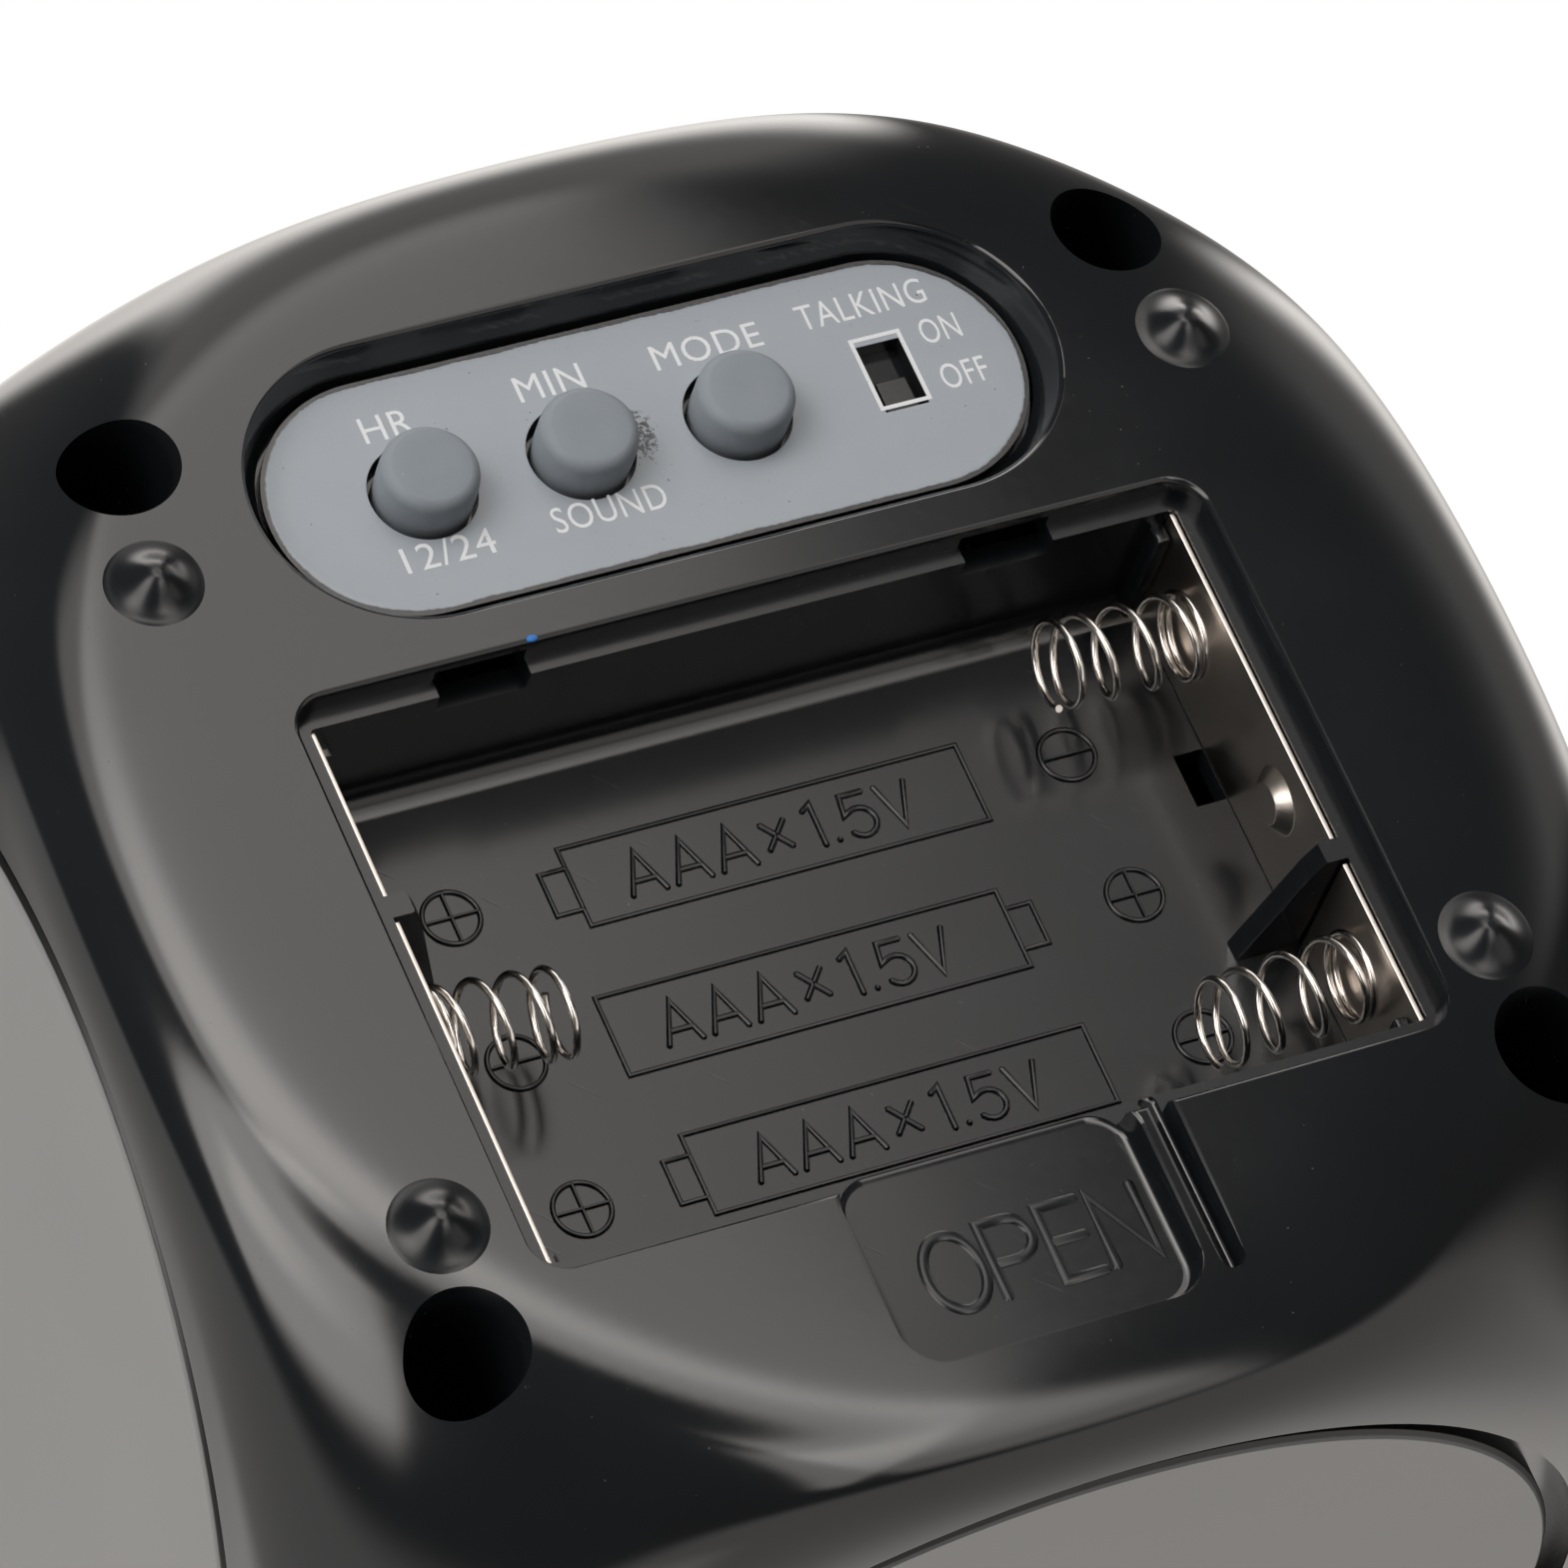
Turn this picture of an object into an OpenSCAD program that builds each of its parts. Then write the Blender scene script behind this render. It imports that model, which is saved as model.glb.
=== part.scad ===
// Talking table clock: a rounded cube in two halves, with four round side plates,
// a large talk button on top, and a control panel and battery bay underneath.
// X runs to the right and Y to the back, seen from above with the display at the front.
// Z = 0 is the surface that the four nubs stand on.

/* [Body] */
// Width of the housing, side to side
body_w = 85; // [84:0.5:89]
// Depth of the housing, front to back
body_d = 83.8; // [83:0.2:88]
// Height from the base plane to the top plane
body_h = 81.3; // [80:0.1:85]
// Radius of the ball that rounds off the corners
ball_r = 58.3; // [57.6:0.1:59.5]
// Radius of the flat middle of the base and of the top
base_flat_r = 34.9; // [33:0.1:35.5]
// Rounding of the long edges of the base and of the top
edge_r = 4.3; // [3:0.1:4.8]
// Thickness of the curved outer wall
wall = 2.3; // [1.8:0.1:2.6]
// Thickness of the base and of the top wall
floor_t = 2.6; // [2.4:0.1:3]

/* [Feet] */
// Height that the nubs stand proud of the base
nub_h = 1; // [0.8:0.1:1.4]
// Radius of each nub where it meets the base
nub_r = 2.3; // [1.8:0.1:2.8]
// Depth of the flat at a nub's tip
nub_flat = 0.08; // [0.04:0.02:0.16]
// Spacing of the nubs, side to side
nub_span_x = 60.8; // [57:0.2:62]
// Spacing of the nubs, front to back
nub_span_y = 39.7; // [36:0.1:42]

/* [Side plates] */
// Radius of each round side plate
plate_r = 35.4; // [34.4:0.1:35.8]
// Thickness of a side plate
plate_t = 1.8; // [1.5:0.1:2.1]
// Visible gap round a side plate
plate_gap = 0.95; // [0.5:0.05:1.2]
// Depth of a plate's face below the housing's flat face
plate_inset = 0.5; // [0.2:0.1:0.9]
// Width of the ledge that a plate rests on
ledge_w = 2.8; // [2:0.1:3.4]
// Thickness of the ledge
ledge_t = 2; // [1.5:0.1:2.3]
// Height of the locating rim on a plate's back
rim_h = 2.6; // [2.2:0.1:2.8]
// Thickness of the locating rim
rim_t = 1.6; // [1.2:0.1:2]

/* [Screws] */
// Distance of the front wells from the side faces
front_well_side = 13.1; // [12.4:0.1:13.7]
// Distance of the front wells from the front face
front_well_edge = 14.4; // [13.9:0.1:15.4]
// Distance of the rear wells from the side faces
rear_well_side = 11; // [10.7:0.1:12.5]
// Distance of the rear wells from the rear face
rear_well_edge = 15.3; // [14.5:0.1:16.4]
// Radius of a screw well
well_r = 3.05; // [2.8:0.05:3.2]
// Wall round a screw well
well_wall = 1.6; // [1.2:0.1:1.8]
// Height of the well's closed end above the base plane
well_h = 36.4; // [33:0.2:37.5]
// Thickness of the closed end that the screw pulls on
well_end_t = 2.3; // [2:0.1:3]
// Radius of a housing screw's shank
screw_r = 1.3; // [1.1:0.05:1.4]
// Radius of a housing screw's head
screw_head_r = 2.5; // [2.2:0.1:2.7]
// Height of a housing screw's head
screw_head_h = 1.8; // [1.4:0.1:2.2]
// Length of a housing screw's shank
screw_len = 12; // [9:0.5:16]
// Radius of an upper screw boss
boss_r = 3.8; // [3.2:0.1:4]
// Radius of a board screw's shank
board_screw_r = 0.75; // [0.6:0.05:0.75]
// Radius of a board screw's head
board_head_r = 1.8; // [1.5:0.1:2]
// Height of a board screw's head
board_head_h = 1.2; // [0.8:0.1:1.3]
// Depth that a board screw goes into its post
board_screw_bite = 4.5; // [3.5:0.1:5]

/* [Control panel] */
// Distance between the centres of the panel's round ends
panel_span = 29.6; // [29:0.1:30.4]
// Radius of the panel's round ends
panel_r = 7.4; // [7:0.1:7.6]
// Thickness of the control plate
panel_t = 1.1; // [1:0.1:1.4]
// Depth of the control plate's face below the base plane
panel_depth = 2.1; // [1.7:0.1:2.5]
// Position of the panel's centre to the right of the middle plane
panel_x = -0.25; // [-0.6:0.05:0]
// Distance of the panel's centre line behind the front face
panel_edge = 19.55; // [19.1:0.05:19.9]
// Gap round the control plate in its recess
panel_gap = 0.25; // [0.15:0.05:0.35]
// Slope of the recess wall, measured across
panel_flare = 0.75; // [0.4:0.05:1]
// Thickness of the housing behind the control plate
pad_t = 1.2; // [1:0.1:1.4]
// Position of the first push button from the middle plane
first_button_x = -13.6; // [-14.2:0.1:-13.3]
// Spacing of the buttons and of the slide switch
button_pitch = 9.3; // [9.1:0.05:9.4]
// Radius of a button's hole in the control plate
button_hole_r = 3.03; // [2.9:0.01:3.15]
// Gap round a button in its hole
button_gap = 0.23; // [0.18:0.01:0.35]
// Height that a button stands proud of the control plate
button_proud = 2.4; // [1.6:0.1:2.7]
// Travel of a push button
button_travel = 0.8; // [0.5:0.1:1]
// Radius of a button's flange behind the panel
button_flange_r = 4.1; // [3.9:0.1:4.2]
// Thickness of a button's flange
button_flange_t = 0.7; // [0.6:0.1:0.9]
// Width of the slide switch window
window_w = 2.6; // [2.5:0.1:3]
// Length of the slide switch window
window_l = 4.3; // [4.2:0.1:4.8]
// Travel of the slide switch
switch_travel = 1.8; // [1.2:0.1:1.8]
// Width of the slide switch knob
knob_w = 1.9; // [1.6:0.1:2]
// Length of the slide switch knob
knob_l = 2; // [1.6:0.1:2]
// Width of the slide switch's case
case_w = 3.8; // [3.4:0.1:4]
// Length of the slide switch's case
case_l = 8.4; // [8:0.1:9]
// Thickness of the case's sheet
case_t = 0.3; // [0.2:0.05:0.4]
// Width of the key board, front to back
key_board_l = 15.6; // [14:0.1:16]
// Side of a key switch
key_switch_w = 6; // [5:0.5:6.5]

/* [Battery bay] */
// Width of the rim that takes the battery door
rim_w = 53.2; // [52.8:0.1:54]
// Length of the rim that takes the battery door
rim_l = 35; // [34.6:0.1:35.6]
// Position of the bay's centre to the right of the middle
bay_x = 0.25; // [0:0.05:0.5]
// Position of the bay's centre behind the middle
bay_y = 6.55; // [6.3:0.05:6.8]
// Corner radius of the rim
rim_corner_r = 2; // [1.4:0.1:2.6]
// Width of the ledge under the battery door
door_ledge = 1.05; // [0.8:0.05:1.2]
// Depth of the ledge under the battery door
door_t = 1.5; // [1.2:0.1:1.8]
// Depth of the bay's floor below the base plane
bay_depth = 10.6; // [10.5:0.1:11.4]
// Thickness of the bay's walls and floor
bay_wall = 1.4; // [1.2:0.1:1.6]
// Spacing of the cells
cell_pitch = 10.95; // [10.6:0.05:11]
// Radius of a cell
cell_r = 5.25; // [5:0.05:5.3]
// Position of the middle cell behind the bay's centre
cell_y = 0.1; // [0:0.05:0.2]
// Rounding between the front wall and the floor
bay_fillet = 2; // [1.4:0.1:2.4]
// Length of a rib between two contacts, at the floor
rib_l = 4.2; // [3.4:0.1:5]
// Length of a rib at its top
rib_top_l = 1.9; // [1.4:0.1:2.4]
// Thickness of a rib
rib_t = 1.3; // [1:0.1:1.4]
// Width of a door hook slot
slot_w = 5.3; // [4.6:0.1:6]
// Height of a door hook slot
slot_h = 2.2; // [1.8:0.1:2.6]
// Distance of a door hook slot from the bay's centre
slot_x = 15.45; // [14:0.05:16.5]
// Width of the thumb recess at the bay
thumb_w = 16.4; // [14:0.2:17]
// Length of the thumb recess behind the bay
thumb_l = 10.9; // [9:0.1:11]
// Depth of the thumb recess at the bay
thumb_depth = 2; // [1.6:0.1:2.2]
// Slope of the thumb recess in degrees
thumb_slope = 4; // [2:0.5:6]
// Corner radius of the thumb recess
thumb_corner_r = 2.2; // [1:0.1:2.6]
// Width of the latch groove beside the thumb recess
groove_w = 1.2; // [0.9:0.1:1.5]
// Width of the thin wall between recess and groove
groove_wall = 0.6; // [0.5:0.1:0.9]

/* [Contacts and springs] */
// Thickness of the contact plates
contact_t = 0.3; // [0.25:0.05:0.45]
// Gap between a contact and what it stands next to
contact_gap = 0.05; // [0.03:0.01:0.1]
// Height of the contact plates above the bay's floor
contact_h = 8.8; // [7.6:0.1:9]
// Radius of the raised dimple that meets a cell's positive end
dimple_r = 2; // [1.6:0.1:2.3]
// Height of the raised dimple
dimple_h = 0.8; // [0.5:0.1:1]
// Mean radius of a battery spring
spring_r = 2.4; // [2:0.05:2.5]
// Radius of the battery spring wire
spring_wire_r = 0.23; // [0.2:0.01:0.25]
// Free length of a battery spring
spring_len = 9; // [8.4:0.1:9.6]
// Close turns of a battery spring at its contact plate
plate_turns = 2; // [1:0.5:2]
// Close turns at the free end of a battery spring
free_turns = 1; // [1:0.5:2]
// Open turns in the middle of a battery spring
open_turns = 3; // [2:0.5:3]
// Rise of one close turn
close_pitch = 0.92; // [0.9:0.01:0.98]

/* [Display] */
// Width of the display window
window_view_w = 42; // [38:0.5:43]
// Height of the display window
window_view_h = 21; // [18:0.5:23]
// Corner radius of the display window
window_view_r = 1.8; // [1:0.1:2.6]
// Width of the rim behind the front plate that holds the window
window_rim = 1.4; // [1:0.1:1.6]
// Thickness of the window's rim
window_rim_t = 0.9; // [0.7:0.1:1.1]
// Thickness of the display glass
glass_t = 2.4; // [2:0.1:2.6]
// Thickness of a circuit board
board_t = 1.4; // [1:0.1:1.6]
// Width of the main board
main_board_w = 47; // [46:0.5:48]
// Height of the main board
main_board_h = 44; // [42:0.5:46]
// Distance from the front plate's back to the main board
main_board_gap = 6.8; // [6.4:0.1:7.4]
// Distance of the main board's screws from its edges
main_post_inset = 3.5; // [3.2:0.1:4]
// Radius of the round blob over the voice chip
chip_r = 7.7; // [6:0.1:8.5]
// Height of the blob
chip_h = 2; // [1.2:0.1:2.4]

/* [Speaker] */
// Radius of the speaker's flange
speaker_r = 16; // [14:0.5:17]
// Depth of the speaker
speaker_h = 12; // [10:0.5:13]
// Radius of the speaker's magnet
magnet_r = 8; // [6.5:0.5:9]
// Radius of one hole of the grille
grille_hole_r = 0.85; // [0.6:0.05:1]
// Spacing of the grille's holes
grille_pitch = 3.4; // [3:0.1:3.6]
// Rings of holes in the grille
grille_rings = 3; // [1:1:3]

/* [Talk button] */
// Radius of the talk button
talk_r = 25; // [23:0.5:25.5]
// Gap round the talk button
talk_gap = 0.45; // [0.35:0.05:0.7]
// Height of the talk button's dome
talk_dome_h = 4; // [3:0.1:5]
// Height of the talk button's straight side above the top
talk_proud = 0.9; // [0.6:0.1:1.5]
// Wall thickness of the talk button
talk_wall = 2; // [1.6:0.1:2.4]
// Travel of the talk button
talk_travel = 1.4; // [1:0.1:1.8]
// Width of the flange that keeps the talk button in
talk_flange = 2.2; // [1.8:0.1:2.6]
// Height from the underside of the top wall to the talk board
talk_board_drop = 9.5; // [9:0.1:10.5]
// Mean radius of the talk button's spring
talk_spring_r = 7.3; // [6.8:0.1:7.8]
// Radius of the talk button's spring wire
talk_wire_r = 0.4; // [0.3:0.05:0.45]
// Turns of the talk button's spring
talk_turns = 6; // [4:1:6]

/* [Hidden] */

$fn = 96;
eps = 0.01;
base_z = nub_h;
top_z = base_z + body_h;
mid_z = base_z + body_h / 2;
half_w = body_w / 2;
half_d = body_d / 2;
half_h = body_h / 2;
seat_t = plate_inset + plate_t;
flank = seat_t + ledge_t;
seat_r = plate_r + plate_gap;
opening_r = plate_r - ledge_w;
// the side chamfers start this far inside the circle where a side face meets the ball
side_chamfer = 1.4;
front_face = half_d - plate_inset;
rear_face = front_face;
inner_floor_z = base_z + floor_t;
inner_top_z = top_z - floor_t;
panel_z = base_z + panel_depth;
panel_back_z = panel_z + panel_t;
pad_z = panel_back_z + pad_t;
switch_x = first_button_x + 3 * button_pitch;
button_r = button_hole_r - button_gap;
key_clear = 0.15;
flange_z = pad_z + key_clear;
flange_top_z = flange_z + button_flange_t;
plunger_z = flange_top_z + button_travel + key_clear;
key_switch_h = 3.5;
key_board_z = plunger_z + key_switch_h;
key_post_r = 1.6;
key_post_x = panel_x - first_button_x + button_flange_r + key_post_r + 0.35;
floor_z = base_z + bay_depth;
inner_w = rim_w - 2 * door_ledge;
inner_l = rim_l - 2 * door_ledge;
bay_left = bay_x - inner_w / 2;
bay_right = bay_x + inner_w / 2;
bay_front = bay_y - inner_l / 2;
bay_back = bay_y + inner_l / 2;
cell_z = floor_z - cell_r;
row_y = [for (i = [-1:1]) bay_y + cell_y + i * cell_pitch];
contact_z = floor_z - contact_h;
core_hole_y = 0;
well_top_z = base_z + well_h;
screw_seat_z = well_top_z - well_end_t;
panel_y = half_d - panel_edge;
front_well_x = half_w - front_well_side;
front_well_y = half_d - front_well_edge;
rear_well_x = half_w - rear_well_side;
rear_well_y = half_d - rear_well_edge;
wells = [[-front_well_x, -front_well_y], [front_well_x, -front_well_y],
    [-rear_well_x, rear_well_y], [rear_well_x, rear_well_y]];
plate_back = front_face - plate_t;
main_post_x = main_board_w - 2 * main_post_inset;
main_post_z = main_board_h - 2 * main_post_inset;
talk_ring_r = talk_r + talk_flange + talk_gap;
talk_board_z = inner_top_z - talk_board_drop;
talk_post_r = talk_ring_r + 3;
talk_top_z = top_z + talk_proud + talk_dome_h;
talk_seat_z = inner_top_z + 2.5;
black = [0.13, 0.13, 0.14];
grey = [0.55, 0.55, 0.55];

// radius of the rounding that joins a flat face, flat to flat_r, to the ball
function round_r(flat_r, face) =
    1.02 * (ball_r * ball_r - flat_r * flat_r - face * face) / (2 * (ball_r - face));

// what is cut from the ball block round one flat face, with the face's normal along Z
module face_rounding(flat_r, face) {
    rho = round_r(flat_r, face);
    centre = face - rho + 0.04;
    lean = atan2(flat_r, centre);
    out = rho + 3;
    rotate_extrude()
        difference() {
            polygon([[flat_r, centre], [flat_r, face + 1], [flat_r + out * sin(lean), face + 1],
                [flat_r + out * sin(lean), centre + out * cos(lean)]]);
            translate([flat_r, centre]) circle(r = rho);
        }
}

// a cone that breaks the edge between a side face and the ball
module face_chamfer(face) {
    edge_circle_r = sqrt(ball_r * ball_r - face * face);
    flat = edge_circle_r - side_chamfer;
    slope = tan(asin(edge_circle_r / ball_r) / 2);
    translate([0, 0, face - 4 * slope])
        difference() {
            cylinder(r = flat + 8, h = 4 * slope + 1);
            translate([0, 0, -slope])
                cylinder(r1 = flat + 5, r2 = flat - 2, h = 7 * slope);
        }
}

// a quarter round along one long edge of the base, which lies along X at y = half and z = 0
module edge_rounding(half, length) {
    translate([0, half - edge_r, edge_r])
        rotate([0, 90, 0])
            difference() {
                translate([0, 0, -length / 2]) cube([edge_r + 1, edge_r + 1, length]);
                cylinder(r = edge_r + 0.02, h = length + 2, center = true);
            }
}

// places children on a side face: local Z points outwards, the origin is in the face's axis
module on_side(turn) {
    translate([0, 0, mid_z]) rotate([0, 0, turn]) rotate([0, 90, 0]) children();
}

// the outer form of the whole clock
module outer_form() {
    difference() {
        intersection() {
            translate([0, 0, mid_z]) sphere(r = ball_r);
            translate([-half_w, -half_d, base_z]) cube([body_w, body_d, body_h]);
        }
        for (flip = [0, 1])
            translate([0, 0, mid_z]) mirror([0, 0, flip])
                face_rounding(base_flat_r, half_h);
        for (turn = [0, 180]) on_side(turn) face_chamfer(half_w);
        for (turn = [90, 270]) on_side(turn) face_chamfer(half_d);
        for (flip = [0, 1])
            translate([0, 0, mid_z]) mirror([0, 0, flip]) translate([0, 0, -half_h]) {
                for (turn = [0, 180]) rotate([0, 0, turn]) edge_rounding(half_d, body_w);
                for (turn = [90, 270]) rotate([0, 0, turn]) edge_rounding(half_w, body_d);
            }
    }
}

// the hollow inside both halves
module inner_form() {
    intersection() {
        translate([0, 0, mid_z]) sphere(r = ball_r - wall);
        translate([-half_w + flank, -half_d + flank, inner_floor_z])
            cube([body_w - 2 * flank, body_d - 2 * flank, inner_top_z - inner_floor_z]);
    }
}

// the stepped round openings that take the side plates
module plate_seats() {
    for (side = [[0, half_w], [180, half_w], [90, half_d], [270, half_d]])
        on_side(side[0]) {
            translate([0, 0, side[1] - seat_t]) cylinder(r = seat_r, h = seat_t + 1);
            translate([0, 0, side[1] - flank - 1]) cylinder(r = opening_r, h = flank + 1);
        }
}

// an upright bar with round ends, long along X
module stadium(span, r, h) {
    translate([-span / 2, -r, 0]) cube([span, 2 * r, h]);
    for (s = [-1, 1]) translate([s * span / 2, 0, 0]) cylinder(r = r, h = h);
}

// the same bar with sloping sides
module flared_stadium(span, r1, r2, h) {
    translate([-span / 2, 0, 0])
        rotate([90, 0, 90])
            linear_extrude(span) polygon([[-r1, 0], [r1, 0], [r2, h], [-r2, h]]);
    for (s = [-1, 1]) translate([s * span / 2, 0, 0]) cylinder(r1 = r1, r2 = r2, h = h);
}

// a block with four rounded upright edges, centred in X and Y
module round_block(w, l, h, r) {
    translate([-w / 2 + r, -l / 2, 0]) cube([w - 2 * r, l, h]);
    translate([-w / 2, -l / 2 + r, 0]) cube([w, l - 2 * r, h]);
    for (sx = [-1, 1], sy = [-1, 1])
        translate([sx * (w / 2 - r), sy * (l / 2 - r), 0]) cylinder(r = r, h = h);
}

// one low domed nub
module nub() {
    dome_r = (nub_r * nub_r + nub_h * nub_h) / (2 * nub_h);
    intersection() {
        translate([0, 0, dome_r - nub_flat]) sphere(r = dome_r);
        translate([-nub_r - 1, -nub_r - 1, 0]) cube([2 * nub_r + 2, 2 * nub_r + 2, nub_h + 1]);
    }
}

// the recess of the control panel, with its sloping wall and the holes behind it
module panel_cut() {
    translate([panel_x, -panel_y, 0]) {
        translate([0, 0, base_z - 1])
            stadium(panel_span, panel_r + panel_gap, panel_depth + panel_t + 1);
        translate([0, 0, base_z - 0.2])
            flared_stadium(panel_span, panel_r + panel_gap + panel_flare * 1.14, panel_r + panel_gap,
                1.6);
    }
    for (i = [0:2])
        translate([first_button_x + i * button_pitch, -panel_y, 0])
            cylinder(r = button_r + 0.5, h = pad_z + 1);
    translate([switch_x - window_w / 2 - 0.3, -panel_y - window_l / 2 - 0.3, 0])
        cube([window_w + 0.6, window_l + 0.6, pad_z + 1]);
}

// the thumb recess and the latch groove behind the bay
module thumb_cut() {
    translate([bay_x - thumb_w / 2 - 1.9, bay_y + rim_l / 2 - 2, base_z + thumb_depth])
        rotate([-thumb_slope, 0, 0])
            mirror([0, 0, 1]) {
                linear_extrude(thumb_depth + 3)
                    difference() {
                        polygon([[0, 0], [thumb_w, 0], [thumb_w, thumb_l + 2 - thumb_corner_r],
                            [thumb_w - 0.6, thumb_l + 2], [thumb_corner_r + 1.2, thumb_l + 2],
                            [0.6, thumb_l + 2 - thumb_corner_r]]);
                    }
                translate([thumb_w + groove_wall, 0, 0])
                    cube([groove_w, thumb_l + 1, thumb_depth + 3]);
            }
}

// the open box for the cells, cut from the housing
module bay_cut() {
    translate([bay_x, bay_y, base_z - 1]) round_block(rim_w, rim_l, door_t + 1, rim_corner_r);
    translate([bay_left, bay_front, base_z]) cube([inner_w, inner_l, bay_depth]);
    for (s = [-1, 1])
        translate([bay_x + s * slot_x - slot_w / 2, bay_front - bay_wall - 1, base_z + door_t - 0.8])
            cube([slot_w, bay_wall + 2, slot_h]);
    // the hole beside the middle contact, where a moulding core stood
    translate([bay_right - 2.2, core_hole_y, floor_z - 1]) cube([1.8, 3.3, bay_wall + 2]);
}

// the ribs, rails and rounding inside the bay
module bay_ribs() {
    for (rib = [[1, (row_y[1] + row_y[2]) / 2], [-1, (row_y[0] + row_y[1]) / 2]])
        translate([rib[0] > 0 ? bay_right : bay_left, rib[1] + rib_t / 2, 0])
            rotate([90, 0, 0])
                linear_extrude(rib_t)
                    polygon([for (p = [[-0.5, floor_z + 0.5], [rib_l, floor_z + 0.5], [rib_l, floor_z],
                        [rib_top_l, contact_z + 1], [rib_top_l - 0.7, contact_z - 0.3],
                        [-0.5, contact_z - 0.3]]) [-rib[0] * p[0], p[1]]]);
    rail = 0.8;
    for (s = [-1, 1], y = [bay_front - 0.5, bay_back - 1.1])
        translate([s > 0 ? bay_right - contact_t - 2 * contact_gap - rail
            : bay_left + contact_t + 2 * contact_gap, y, contact_z + 1])
            cube([rail, 1.6, contact_h]);
    // the rounding stops short of the contact plates
    contact_room = contact_t + 4 * contact_gap;
    translate([bay_left + contact_room, bay_front - 0.2, floor_z + 0.2])
        rotate([0, 90, 0])
            linear_extrude(inner_w - 2 * contact_room)
                difference() {
                    square([bay_fillet + 0.2, bay_fillet + 0.2]);
                    translate([bay_fillet + 0.2, bay_fillet + 0.2]) circle(r = bay_fillet);
                }
}

module lower_housing() {
    color(black)
        difference() {
            union() {
                difference() {
                    outer_form();
                    inner_form();
                    translate([-half_w - 1, -half_d - 1, mid_z])
                        cube([body_w + 2, body_d + 2, body_h]);
                }
                // the pad behind the control plate
                translate([panel_x, -panel_y, base_z + 1])
                    stadium(panel_span, panel_r + 2, pad_z - base_z - 1);
                for (s = [-1, 1])
                    translate([panel_x + s * key_post_x, -panel_y, pad_z - 0.5])
                        cylinder(r = key_post_r, h = key_board_z - pad_z + 0.5, $fn = 48);
                // the walls and floor of the battery bay
                translate([bay_x - inner_w / 2 - bay_wall, bay_y - inner_l / 2 - bay_wall, base_z + 1])
                    cube([inner_w + 2 * bay_wall, inner_l + 2 * bay_wall, bay_depth + bay_wall - 1]);
                // the thicker wall under the thumb recess
                translate([bay_x - thumb_w / 2 - 3.3, bay_back, base_z + 1.5])
                    cube([thumb_w + groove_wall + groove_w + 3, rim_l / 2 + thumb_l - inner_l / 2 + 1.5,
                        thumb_depth]);
                for (w = wells)
                    translate([w[0], w[1], base_z + 1])
                        intersection() {
                            cylinder(r = well_r + well_wall, h = well_h - 1);
                            translate([-w[0], -w[1], mid_z - base_z - 1]) sphere(r = ball_r - 1);
                        }
                for (sx = [-1, 1], sy = [-1, 1])
                    translate([sx * nub_span_x / 2, sy * nub_span_y / 2, 0]) nub();
            }
            plate_seats();
            panel_cut();
            difference() {
                bay_cut();
                bay_ribs();
            }
            thumb_cut();
            for (s = [-1, 1])
                translate([panel_x + s * key_post_x, -panel_y, pad_z])
                    cylinder(r = 0.75, h = key_board_z, $fn = 48);
            for (w = wells)
                translate([w[0], w[1], 0]) {
                    translate([0, 0, -1]) cylinder(r = well_r, h = screw_seat_z + 1);
                    cylinder(r = screw_r + 0.25, h = well_top_z + 1);
                }
        }
}

module upper_housing() {
    color(black)
        difference() {
            union() {
                difference() {
                    outer_form();
                    inner_form();
                    translate([-half_w - 1, -half_d - 1, -1])
                        cube([body_w + 2, body_d + 2, mid_z + 1]);
                }
                // the guide ring of the talk button, with four posts for its board
                translate([0, 0, talk_board_z + board_t])
                    cylinder(r = talk_ring_r + 1.5, h = inner_top_z - talk_board_z - board_t + 1);
                for (a = [45:90:315]) rotate([0, 0, a])
                    translate([talk_post_r, 0, talk_board_z + board_t])
                        cylinder(r = 2.6, h = inner_top_z - talk_board_z - board_t + 1, $fn = 48);
                for (w = wells)
                    translate([w[0], w[1], well_top_z])
                        intersection() {
                            cylinder(r = boss_r, h = inner_top_z - well_top_z + 1);
                            translate([-w[0], -w[1], mid_z - well_top_z]) sphere(r = ball_r - 1);
                        }
            }
            plate_seats();
            translate([0, 0, talk_board_z]) cylinder(r = talk_ring_r, h = inner_top_z - talk_board_z);
            cylinder(r = talk_r + talk_gap, h = top_z + 1);
            for (a = [45:90:315]) rotate([0, 0, a])
                translate([talk_post_r, 0, talk_board_z]) cylinder(r = 0.9, h = 9, $fn = 48);
            for (w = wells)
                translate([w[0], w[1], well_top_z - 1]) cylinder(r = screw_r - 0.05, h = screw_len + 2);
        }
}

// a round plate with its locating rim, back face at local z = 0
module plate_blank() {
    edge = 0.4;
    cylinder(r = plate_r, h = plate_t - edge);
    translate([0, 0, plate_t - edge]) cylinder(r1 = plate_r, r2 = plate_r - edge, h = edge);
    translate([0, 0, -rim_h])
        difference() {
            cylinder(r = opening_r - 0.3, h = rim_h + 0.5);
            translate([0, 0, -1]) cylinder(r = opening_r - 0.3 - rim_t, h = rim_h + 1);
        }
}

// a hollow screw post behind a plate, at local x (down) and y (across)
module plate_posts(points, h) {
    for (p = points)
        translate([p[0], p[1], -h])
            difference() {
                cylinder(r = 2.2, h = h + 0.5, $fn = 48);
                translate([0, 0, -1]) cylinder(r = 0.8, h = h + 1, $fn = 48);
            }
}

main_posts = [for (sz = [-1, 1], sx = [-1, 1]) [sz * main_post_z / 2, sx * main_post_x / 2]];
speaker_posts = [for (a = [0, 120, 240]) [(speaker_r + 3) * cos(a), (speaker_r + 3) * sin(a)]];

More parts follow.
